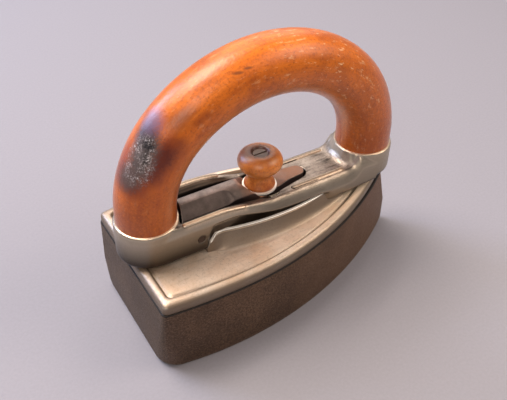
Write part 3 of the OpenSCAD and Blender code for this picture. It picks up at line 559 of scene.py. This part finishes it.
def boxRing(z, inset, atTop, corner):
    s = boxSizes
    side = atTop * s["sideDraft"] + inset
    plan = planOutline(boxHigh.x - atTop * s["noseRake"] - inset, boxLow.x + atTop * s["rearDraft"] + inset,
                       43 - side, s["rearHalf"] - side, max(s["noseRound"] - inset, 1), corner)
    return [(x, y, z) for x, y in plan]


def cavityRing(z, inset):
    s = boxSizes
    thick = s["sideDraft"] + s["wall"] + inset
    plan = planOutline(boxHigh.x - s["noseSolid"] - inset, boxLow.x + s["rearDraft"] + s["wall"] + inset,
                       43 - thick, s["rearHalf"] - thick, 5 - inset, max(4 - inset, 1))
    return [(x, y, z) for x, y in plan]


def makeBox():
    s = boxSizes
    box = startPiece("boxShell")
    top = boxHigh.z
    outside = [(0, 3, 0, 12), (0.35, 1.9, 0, 12), (0.9, 1.05, 0, 12), (2.2, 0.45, 0, 12), (4.5, 0.1, 0, 12),
               (11, 0.05, 0.045, 9.6), (18.9, 0, 0.1, 7.25), (26, 0, 0.38, 5.8), (34, 0, 0.69, 4.2),
               (top - 1, 0, 0.96, 2.8), (top - 0.3, 0.12, 1, 2.5), (top, 0.6, 1, 2.5)]
    rings = [boxRing(*level) for level in outside]
    rings += [cavityRing(z, inset) for z, inset in ((top, -0.6), (top - 0.5, 0), (s["soleT"] + 2.4, 0),
                                                   (s["soleT"] + 0.7, 0.7), (s["soleT"], 2.4))]
    loft(rings)
    cavityRear = boxLow.x + s["rearDraft"] + s["wall"]
    cavityHalf = 43 - s["sideDraft"] - s["wall"]
    ribs = [(cavityRear + 12, 23.7), (waistX, 24.2), (boxHigh.x - s["noseSolid"] - 45, 12)]
    for x, half in ribs:
        w = s["ribW"] / 2
        low, high = s["soleT"] - 1, s["soleT"] + s["ribH"]
        loft([[(x - w + d, -half + d, z), (x + w - d, -half + d, z), (x + w - d, half - d, z),
               (x - w + d, half - d, z)] for z, d in ((low, 0), (high - 0.6, 0), (high, 0.6))])
    turnProfile([(0, s["soleT"] - 1), (s["bossR"], s["soleT"] - 1), (s["bossR"], s["soleT"] + s["bossH"] - 0.8),
                 (s["bossR"] - 0.8, s["soleT"] + s["bossH"]), (0, s["soleT"] + s["bossH"])],
                (s["keeperX"], 0), 48)
    bpy.ops.object.mode_set(mode="OBJECT")
    finishPiece(box, "box", boxMetal, ["box_body"])


makeBox()


# The heated slug that stands in the box
slugSizes = {"gap": 2.5, "slotW": 16.4, "slotRear": -33.45, "slotFront": -7.65, "tongsHole": 9, "edge": 0.9}


def longSlot(x0, x1, width, z0, z1):  # closed prism with round ends along X
    r = width / 2
    plan = arc(x1 - r, 0, r, -halfPi, halfPi, 14) + arc(x0 + r, 0, r, halfPi, 3 * halfPi, 14)
    tool = startPiece("slotTool")
    loft([[(x, y, z) for x, y in plan] for z in (z0, z1)])
    bpy.ops.object.mode_set(mode="OBJECT")
    return tool


def makeSlug():
    s = slugSizes
    slug = startPiece("heatedSlug")
    low, high, e = slugLow.z, slugHigh.z, s["edge"]
    levels = ((low, e), (low + e * 0.3, e * 0.3), (low + e, 0), (high - e, 0), (high - e * 0.3, e * 0.3), (high, e))
    loft([cavityRing(z, s["gap"] + inset) for z, inset in levels])
    bpy.ops.object.mode_set(mode="OBJECT")
    combine(slug, longSlot(s["slotRear"], s["slotFront"], s["slotW"], low - 2, high + 2), "DIFFERENCE")
    holeX = boxLow.x + boxSizes["rearDraft"] + boxSizes["wall"] + 26
    hole = startPiece("holeTool")
    r = s["tongsHole"] / 2
    ringPlan = arc(holeX, 0, r, 0, 2 * math.pi, 40)[:-1]
    loft([[(x, y, z) for x, y in ringPlan] for z in (low - 2, high + 2)])
    bpy.ops.object.mode_set(mode="OBJECT")
    combine(slug, hole, "DIFFERENCE")
    finishPiece(slug, "slug", slugMetal, ["heating_slug"])


makeSlug()


# The lid casting: skirt, rounded rim, sunk plate and the mound under the handle frame
lidSizes = {
    "setIn": 0.4, "tipGap": 1.6, "rimW": 5.2, "rimTop": 47.9, "plateTop": 46.7, "plateUnder": 44.1,
    "seat": 49.4, "moundX": -8, "lipShift": 8, "moundHalf": 24.5, "lipHalf": 17.8, "moundR": 136, "lipT": 1.8,
    "cornerX": -44.9, "cornerY": 16.2, "lipRear": -42.5, "footHalf": 12.8, "reliefX": 37, "reliefSlope": 2.2,
    "fallStart": -38, "fall": 0.3,
}


def lidRing(z, inset):
    s = lidSizes
    b = boxSizes
    setIn = s["setIn"] + inset
    plan = planOutline(boxHigh.x - b["noseRake"] - s["tipGap"] - inset * 1.5, boxLow.x + b["rearDraft"] + setIn,
                       43 - b["sideDraft"] - setIn, b["rearHalf"] - b["sideDraft"] - setIn,
                       max(b["noseRound"] - setIn, 1), 2.5)
    return [(x, y, z(x) if callable(z) else z) for x, y in plan]


def skirtFoot(lift):  # the skirt stands off the box towards the nose
    slope = math.tan(math.radians(lidSizes["reliefSlope"]))
    return lambda x: lidLow.z + lift + max(x - lidSizes["reliefX"], 0) * slope


def moundRing(h, sink=0.0, z=None):  # h is 0 at the foot of the mound and 1 at its lip
    s = lidSizes
    lift = 1 - math.sqrt(max(1 - h * h, 0))
    flare = (math.sin(math.acos(1 - h)) + h) / 2
    radius = s["moundR"] - (s["moundHalf"] - s["lipHalf"]) * flare - sink
    middle = s["moundX"] + s["lipShift"] * h
    rear = mix(s["cornerX"], s["lipRear"], h * h)
    front = 43.7 - 13 * h ** 0.5 - 4 * lift
    height = mix(s["plateTop"], lidHigh.z, h) if z is None else z
    fall = s["fall"] * h * (height - s["plateTop"])
    steps = 40
    side = []
    for i in range(steps + 1):
        x = mix(front, rear, 0.5 - 0.5 * math.cos(math.pi * i / steps))
        y = math.sqrt(radius ** 2 - (x - middle) ** 2) + s["moundHalf"] - s["moundR"]
        y = mix(max(y, 6), s["cornerY"] - sink, ramp(x, s["cornerX"] + 12, s["cornerX"]))
        side.append((x, y, height - fall * ramp(x, s["fallStart"], s["lipRear"])))
    return side + [(x, -y, z) for x, y, z in reversed(side)]


def makeLid():
    s = lidSizes
    lid = startPiece("lidCasting")
    rimTop, plate = s["rimTop"], s["plateTop"]
    levels = [(skirtFoot(0.35), 0.35), (skirtFoot(0.0), 0.6), (lidLow.z, None)]
    outer = [(rimTop - 2.1, 0.02), (rimTop - 1.45, 0.25), (rimTop - 0.95, 0.7), (rimTop - 0.55, 1.3),
             (rimTop - 0.25, 2), (rimTop - 0.05, 2.8), (rimTop, 3.4), (rimTop - 0.1, 3.9), (rimTop - 0.45, 4.4),
             (plate - 0.2, 4.8), (plate - 0.6, 5.2), (plate - 0.6, 5.6), (plate - 0.3, 6), (plate, 6.7)]
    rings = [lidRing(z, inset) for z, inset in reversed(outer)]
    rings += [lidRing(skirtFoot(0.6), 0), lidRing(skirtFoot(0.15), 0.12), lidRing(skirtFoot(0), 0.5)]
    rings += [cavityRing(lidLow.z, 1), cavityRing(s["plateUnder"], 1)]
    loft(rings)
    bpy.ops.object.mode_set(mode="OBJECT")

    mound = startPiece("moundTool")
    heights = [0, 0.02, 0.06, 0.12, 0.2, 0.3, 0.42, 0.55, 0.68, 0.8, 0.9]
    rings = [moundRing(0, z=s["plateUnder"] + 1)] + [moundRing(h) for h in heights]
    rings += [moundRing(1, sink, lidHigh.z - drop) for drop, sink in ((0.6, 0), (0.3, 0.1), (0.1, 0.3), (0, 0.65))]
    loft(rings)
    bpy.ops.object.mode_set(mode="OBJECT")
    trough = startPiece("troughTool")
    loft([moundRing(1, s["lipT"], z) for z in (s["seat"], lidHigh.z - 0.25)]
         + [moundRing(1, s["lipT"] - 0.3, lidHigh.z), moundRing(1, s["lipT"] - 0.3, lidHigh.z + 2)])
    bpy.ops.object.mode_set(mode="OBJECT")
    combine(mound, trough, "DIFFERENCE")
    foot = startPiece("footTool")
    half = s["footHalf"]
    loft([[(-90, -half, z), (90, -half, z), (90, half, z), (-90, half, z)] for z in (s["seat"], lidHigh.z + 3)])
    bpy.ops.object.mode_set(mode="OBJECT")
    combine(mound, foot, "DIFFERENCE")
    combine(lid, mound, "UNION")
    combine(lid, longSlot(-30.45, knobX + 9, 14.6, lidLow.z - 2, lidHigh.z + 2), "DIFFERENCE")
    finishPiece(lid, "hood", lidMetal, ["lid_casting"], 35)


makeLid()


# The handle frame: one soft casting with two boots, rails, slot and front plate
frameSizes = {
    "railTop": 68.5, "plateTop": 62.2, "plateHalf": 11, "footHalf": 12.3, "footRear": -44.7, "footFront": 29.7,
    "lipTop": 54.5, "slotHalf": 9.7, "slotTipR": 4.8, "slotTipX": 18.9, "knobClear": 2.1, "sweep": 7,
    "frontBevel": 5, "voxel": 0.5,
}


def barTop(x):
    s = frameSizes
    return mix(s["railTop"], s["plateTop"], ramp(x, pivotX + 10, knobX + 6))


def topAt(x, y):  # the top surface, with the hollow sweep up to the front boot
    s = frameSizes
    away = math.hypot(x - frontPostX, y) - frameHalf
    g = s["sweep"]
    lift = g - math.sqrt(max(g * g - (g - min(max(away, 0), g)) ** 2, 0))
    inward = ramp(abs(y), s["slotHalf"] + 3, s["slotHalf"]) * (1 - ramp(x, pivotX + 12, knobX))
    return barTop(x) + lift - 2.2 * inward


def barRing(x):  # half the section from the middle of the top to the middle of the foot, then mirrored
    s = frameSizes
    lean = ramp(x, pivotX + 16, knobX + 18)
    topHalf = mix(frameHalf - 1.8, s["plateHalf"], lean)
    half = [(y, topAt(x, y)) for y in [topHalf * i / 14 for i in range(15)]]
    edgeZ = half[-1][1]
    drop = mix(4.2, 6.2, lean)
    for i in range(1, 8):
        t = i / 7
        half.append((mix(topHalf, frameHalf, t), edgeZ - drop * t ** mix(1.6, 2.1, lean)))
    low = frameLow.z + 1.8 * ramp(x, s["footFront"], frontPostX)
    inside = min(ramp(x, s["footRear"] - 0.5, s["footRear"] + 4.5), ramp(x, s["footFront"] + 0.5, s["footFront"] - 6))
    valley = mix(63.2, 59.6, ramp(x, -12, s["footFront"] - 5))
    depth = (frameHalf - s["footHalf"]) * inside
    coveTop = mix(s["lipTop"] + 0.5, min(valley, half[-1][1] - 0.3), inside)
    for i in range(9):
        a = halfPi * i / 8
        half.append((frameHalf - depth * math.sin(a), mix(coveTop, s["lipTop"], 1 - math.cos(a))))
    half += [(frameHalf - depth, low + 0.5), (frameHalf - depth - 0.5, low), (0, low)]
    ring = [(x, y, z) for y, z in half]
    return ring + [(x, -y, z) for x, y, z in reversed(ring[1:-1])]


def beadRings(x0, x1, y, halfWidth, rise, ends):  # a long low bead with round ends that follows the top
    rings = []
    steps = 24
    for i in range(steps + 1):
        x = mix(x0, x1, 0.5 - 0.5 * math.cos(math.pi * i / steps))
        near = min(x - x0, x1 - x, ends) / ends
        size = max(math.sqrt(1 - (1 - near) ** 2), 0.05)
        z = topAt(x, y) - 0.3
        rings.append([(x, y + halfWidth * size * math.cos(a), z + (rise + 0.3) * size * math.sin(a))
                      for a in [2 * math.pi * k / 12 for k in range(12)]])
    return rings


def makeFrame():
    s = frameSizes
    bar = startPiece("handleFrame")
    stations = 84
    xs = [mix(rearPostX, frontPostX, i / stations) for i in range(stations + 1)]
    loft([barRing(x) for x in xs])
    bpy.ops.object.mode_set(mode="OBJECT")
    low, high = frameLow.z, frameHigh.z
    bevel = s["frontBevel"]
    boots = [
        (rearPostX, [(0, low), (frameHalf - 1.2, low), (frameHalf - 0.3, low + 0.4), (frameHalf, low + 1.4)]),
        (frontPostX, [(0, low), (frameHalf - bevel, low), (frameHalf - 0.6, low + bevel - 1),
                      (frameHalf, low + bevel + 0.4)]),
    ]
    for x, foot in boots:
        boot = startPiece("bootTool")
        turnProfile(foot + [(frameHalf, high - 0.9), (frameHalf - 0.25, high - 0.3), (frameHalf - 0.75, high),
                            (0, high)], (x, 0))
        bpy.ops.object.mode_set(mode="OBJECT")
        combine(bar, boot, "UNION")
    slot = startPiece("slotTool")
    r = washerHigh.y + s["knobClear"]
    mouth = math.asin(s["slotHalf"] / r)
    tipTurn = math.radians(80)
    endR = frameHalf - 0.5
    side = arc(rearPostX, 0, endR, 0, math.asin(s["slotHalf"] / endR), 6)
    side += arc(knobX, 0, r, math.pi - mouth, mouth * 0.8, 12)
    side += arc(s["slotTipX"], 0, s["slotTipR"], tipTurn, 0, 8)
    plan = side + [(x, -y) for x, y in reversed(side[1:-1])]
    loft([[(x, y, z) for x, y in plan] for z in (low - 2, high + 2)])
    for x in (rearPostX, frontPostX):
        loft([[(px, py, z) for px, py in arc(x, 0, 5.8, 0, 2 * math.pi, 32)[:-1]] for z in (low - 2, low + 4)])
    pinR = (pinHigh.x - pinLow.x) / 2 + 0.06
    for side in (-1, 1):
        circle = arc(pivotX, pivotZ, pinR, 0, 2 * math.pi, 24)[:-1]
        loft([[(px, y, pz) for px, pz in circle] for y in (side * (frameHalf - 7.5), side * (frameHalf + 2))])
    bpy.ops.object.mode_set(mode="OBJECT")
    combine(bar, slot, "DIFFERENCE")
    applyModifier(bar, "REMESH", mode="VOXEL", voxel_size=s["voxel"] * mm)
    applyModifier(bar, "SMOOTH", factor=0.5, iterations=6)
    beads = startPiece("beadTool")
    for side in (-1, 1):
        loft(beadRings(rearPostX + 12, -21.5, side * 14.2, 1.5, 0.8, 1.6))
        loft(beadRings(8.5, 42, side * 10.1, 1.5, 0.8, 1.6))
    bpy.ops.object.mode_set(mode="OBJECT")
    combine(bar, beads, "UNION")
    finishPiece(bar, "hood", frameMetal, ["handle_frame"], 60)


makeFrame()


# The grip: a round bar bent over three arcs
gripSizes = {"straightTo": 73.5, "sideR": 56, "sideTurn": 46.4}


def makeGrip():
    s = gripSizes
    grip = startPiece("woodGrip")
    r = gripHigh.y
    rise = gripHigh.z - r - s["straightTo"] - 0.05
    halfSpan = (frontPostX - rearPostX) / 2
    turn = math.radians(s["sideTurn"])
    topR = s["sideR"] + (halfSpan - s["sideR"]) / math.cos(turn)
    middle = (rearPostX + frontPostX) / 2
    startZ = gripLow.z
    topCentreZ = s["straightTo"] - (topR - s["sideR"]) * math.sin(turn)
    print("grip rises %.1f mm above the posts, %.1f allowed" % (topR + topCentreZ - s["straightTo"], rise))
    ring = drawRing([(px, py, startZ) for px, py in arc(rearPostX, 0, r, 0, 2 * math.pi, 72)[:-1]])
    fillRing(ring)
    ring = extrudeRing(ring, [(px, py, s["straightTo"]) for px, py in arc(rearPostX, 0, r, 0, 2 * math.pi, 72)[:-1]])
    spins = [(rearPostX + s["sideR"], s["straightTo"], turn, 14), (middle, topCentreZ, math.pi - 2 * turn, 40),
             (frontPostX - s["sideR"], s["straightTo"], turn, 14)]
    for x, z, angle, steps in spins:
        bpy.ops.mesh.spin(steps=steps, angle=angle, center=Vector((x, 0, z)) * mm, axis=(0, -1, 0))
    bpy.ops.mesh.extrude_region_move(TRANSFORM_OT_translate={"value": (0, 0, (startZ - s["straightTo"]) * mm)})
    turnOutwards(0)
    bpy.ops.object.mode_set(mode="OBJECT")
    finishPiece(grip, "hood", gripWood, ["wood_grip"], 40)


makeGrip()


# The knob, turned from one piece of wood
knobSizes = {"baseR": 8.3, "neckR": 6.2, "capR": 11.8, "recessR": 4.6, "recess": 1.1}


def makeKnob():
    s = knobSizes
    knob = startPiece("woodKnob")
    low, tall = knobLow.z, knobHigh.z - knobLow.z
    capZ, neckZ = tall * 0.74, tall * 0.33
    profile = [(2.1, 0), (s["baseR"] - 0.6, 0), (s["baseR"] - 0.15, 0.2), (s["baseR"], 0.7), (s["baseR"] - 0.1, 1.4)]
    profile += [(s["neckR"] + (s["baseR"] - 0.1 - s["neckR"]) * (1 - math.sin(halfPi * i / 12)),
                 1.4 + (neckZ - 1.4) * i / 12) for i in range(1, 13)]
    for i in range(2, 33):
        a = math.radians(-72 + 144 * i / 32)
        rise = (tall - capZ) * (1.12 if a < 0 else 1.05) * math.sin(a)
        profile.append((s["capR"] * (0.42 + 0.58 * math.cos(a)), min(capZ + rise, tall)))
    profile += [(s["recessR"] + 0.5, tall - 0.02), (s["recessR"], tall - 0.3), (s["recessR"] - 0.3, tall - s["recess"]),
                (2.1, tall - 3.2)]
    turnProfile([(x, low + z) for x, z in profile] + [(2.1, low)], (knobX, 0), 96)
    bpy.ops.object.mode_set(mode="OBJECT")
    finishPiece(knob, "latch", knobWood, ["wood_knob"], 50)


makeKnob()


# The latch lever: forged bar with a chamfered ridge, slim tip and forked hook
leverSizes = {
    "half": 8.5, "flat": 2.7, "chamferDrop": 5.9, "crown": 0.066, "stopStart": 25.7, "seatR": 9.4, "tipX": 18.4,
    "tipR": 4, "baseHalf": 6.2, "voxel": 0.4,
    "hookX": -22.2, "legLen": 6.5, "legIn": 3, "legT": 2.4, "toeZ": 31.25, "toeLen": 3, "toeH": 4, "swell": 1.5, "endR": 16.6,
}


def makeLever():
    s = leverSizes
    lever = startPiece("latchLever")
    ridge = leverHigh.z
    barZ = washerLow.z - 0.8
    barUnder = barZ - 4.4
    underLine = [(leverLow.x, pivotZ - 4), (pivotX + 4, pivotZ - 4), (pivotX + 9, barUnder), (knobX + 8, barUnder),
                 (s["tipX"] + 5, barZ - 2.4)]

    def follow(line, x):
        for (x0, z0), (x1, z1) in zip(line, line[1:]):
            if x <= x1:
                return mix(z0, z1, (x - x0) / (x1 - x0))
        return line[-1][1]

    def halfAt(x):
        if x < knobX:
            return s["half"]
        if x < s["tipX"]:
            return mix(s["baseHalf"], s["tipR"], (x - knobX) / (s["tipX"] - knobX))
        return max(math.sqrt(max(s["tipR"] ** 2 - (x - s["tipX"]) ** 2, 0)), 0.4)

    def topAt(x, y):
        away = math.hypot(x - knobX, y)
        seat = barZ + max(away - s["seatR"], 0) * 2.2
        if x > knobX:
            return min(seat, barZ + s["swell"] * ramp(x, knobX + 9, knobX + 16))
        crown = ridge - s["crown"] * y * y
        facet = crown
        if abs(y) > s["flat"]:
            facet = ridge - 0.5 - (abs(y) - s["flat"]) * s["chamferDrop"] / (s["half"] - s["flat"])
        if y < 0:
            facet += max(x - knobX + s["stopStart"], 0) ** 2 * 0.045
        return min(crown, facet, seat)

    def ring(x):
        w = halfAt(x)
        under = follow(underLine, x)
        section = [(w * i / 18, topAt(x, w * i / 18)) for i in range(-18, 19)]
        section += [(w, mix(section[-1][1], under, 0.5)), (w, under), (w * 0.5, under), (0, under)]
        section += [(-w * 0.5, under), (-w, under), (-w, mix(section[0][1], under, 0.5))]
        reach = s["endR"] * (1 - ramp(x, leverLow.x, leverLow.x + 8))
        return [(x - reach + math.sqrt(max(reach ** 2 - y ** 2, 0)) if reach > w else x, y, z) for y, z in section]

    ends = s["tipX"] + s["tipR"] - 0.05
    count = 110
    loft([ring(mix(leverLow.x, ends, i / count)) for i in range(count + 1)])
    legBack, legFront = s["hookX"] - s["legLen"] / 2, s["hookX"] + s["legLen"] / 2
    leg = [(legBack, barUnder + 1), (legFront, barUnder + 1), (legFront, s["toeZ"]),
           (legFront + s["toeLen"], s["toeZ"]), (legFront + s["toeLen"] - 0.4, s["toeZ"] - s["toeH"]),
           (legBack, s["toeZ"] - s["toeH"])]
    for side in (-1, 1):
        loft([[(x, side * y, z) for x, z in leg] for y in (s["legIn"], s["legIn"] + s["legT"])])
    bpy.ops.object.mode_set(mode="OBJECT")
    applyModifier(lever, "REMESH", mode="VOXEL", voxel_size=s["voxel"] * mm)
    applyModifier(lever, "SMOOTH", factor=0.5, iterations=1)
    finishPiece(lever, "latch", leverMetal, ["latch_lever"], 60)


makeLever()


# The return spring under the lever: wound wire, which on the real iron shortens as the lever comes down
springSizes = {"levels": 2, "keep": 0.72}


def makeSpring():
    s = springSizes
    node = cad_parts["latch_spring"]
    spring = startPiece("returnSpring")
    bpy.ops.object.mode_set(mode="OBJECT")
    spring.data = node.data.copy()  # the coil keeps its path, and its wire is made round
    bpy.ops.object.mode_set(mode="EDIT")
    bpy.ops.mesh.select_all(action="SELECT")
    bpy.ops.mesh.remove_doubles(threshold=0.01 * mm)
    bpy.ops.object.mode_set(mode="OBJECT")
    applyModifier(spring, "SUBSURF", levels=s["levels"], render_levels=s["levels"])
    low, high = nodeBox("latch_spring")
    heights = [vert.co.z / mm for vert in spring.data.vertices]
    grow = (high.z - low.z) / (max(heights) - min(heights))
    bpy.ops.object.mode_set(mode="EDIT")
    bpy.ops.mesh.select_all(action="SELECT")
    bpy.ops.transform.resize(value=(1, 1, grow), center_override=(low + high) / 2 * mm)
    bpy.ops.object.mode_set(mode="OBJECT")
    finishPiece(spring, "hood", steelMetal, ["latch_spring"], 60)
    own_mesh(spring)


makeSpring()


# Small CAD pieces keep their shapes and get their finishes
nodeFinishes = {
    "keeper_stud": steelMetal, "keeper_pin": steelMetal, "insulating_board": boardStuff, "heat_shield": tinPlate,
    "shield_screws": steelMetal, "frame_screws": steelMetal, "rear_grip_screw": steelMetal,
    "front_grip_screw": steelMetal, "grip_screw_washers": steelMetal, "latch_pivot_pin": pinMetal,
    "knob_washer": brightMetal, "knob_under_washer": underWasherShade,
    "knob_screw": agedScrew, "knob_nut": steelMetal,
}
for nodeName, finish in nodeFinishes.items():
    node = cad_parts[nodeName]
    if not node.data.materials:
        node.data.materials.append(finish)
    for slotNow in node.material_slots:
        slotNow.material = finish
print("finishes on CAD pieces: %d" % len(nodeFinishes))


# Floor, light and camera
stageSizes = {"floor": 6.0, "floorColour": "#8E8B92"}


def makeStage():
    bpy.ops.object.select_all(action="DESELECT")
    bpy.ops.mesh.primitive_plane_add(size=stageSizes["floor"])
    floor = bpy.context.object
    floor.name = "floor"
    material, tree, principled, place = newMaterial("paleFloor", Roughness=0.9)
    paper = noise(tree, place, 1.6, 4, 0.6)
    link(tree, blend(tree, band(tree, paper, 0.3, 0.7), stageSizes["floorColour"], "#89868D"), principled, "Base Color")
    floor.data.materials.append(material)


def areaLight(name, place, aim, size, power, colour):
    bpy.ops.object.light_add(type="AREA", location=place)
    lamp = bpy.context.object
    lamp.name = name
    lamp.data.size = size
    lamp.data.energy = power
    lamp.data.color = linear(colour)[:3]
    lamp.rotation_euler = (Vector(aim) - Vector(place)).to_track_quat("-Z", "Y").to_euler()


makeStage()
areaLight("keyLight", (-0.3, 0.35, 1.15), (0, 0, 0.05), 0.6, 20, "#FFF4E8")
areaLight("skyLight", (-0.7, 0.95, 0.7), (0, 0, 0.05), 0.5, 12, "#C0D4FF")
areaLight("backLight", (0.5, 0.85, 0.85), (0, 0, 0.05), 1.1, 5.4, "#FFF6EE")
areaLight("fillLight", (-0.5, -0.65, 0.8), (0, 0, 0.05), 0.35, 4, "#FFF0E0")
areaLight("sideLight", (0.75, -0.45, 0.85), (0, 0, 0.05), 0.6, 6.2, "#FFEEDC")

world = bpy.data.worlds.new("studio")
world.use_nodes = True
world.node_tree.nodes["Background"].inputs["Color"].default_value = linear("#DCDEEA")
world.node_tree.nodes["Background"].inputs["Strength"].default_value = 0.25
bpy.context.scene.world = world
bpy.context.scene.view_settings.view_transform = "Standard"

cameraSizes = {"place": (-159.5, -238.5, 294.0), "yaw": 1.0057, "pitch": 0.705, "roll": 0.0258, "focal": 697.7}


def makeCamera():
    s = cameraSizes
    frameWidth, sensor = 507, 36
    bpy.ops.object.camera_add()
    camera = bpy.context.object
    camera.name = "camera"
    look = Vector((math.cos(s["pitch"]) * math.cos(s["yaw"]), math.cos(s["pitch"]) * math.sin(s["yaw"]),
                   -math.sin(s["pitch"])))
    right = look.cross(Vector((0, 0, 1))).normalized()
    up = right.cross(look)
    turnedRight = math.cos(s["roll"]) * right + math.sin(s["roll"]) * up
    turnedUp = -math.sin(s["roll"]) * right + math.cos(s["roll"]) * up
    turn = Matrix((turnedRight, turnedUp, -look)).transposed()
    camera.matrix_world = Matrix.Translation(Vector(s["place"]) * mm) @ turn.to_4x4()
    camera.data.sensor_width = sensor
    camera.data.lens = s["focal"] / frameWidth * sensor
    bpy.context.scene.camera = camera


makeCamera()
print("stage, lights and camera made")
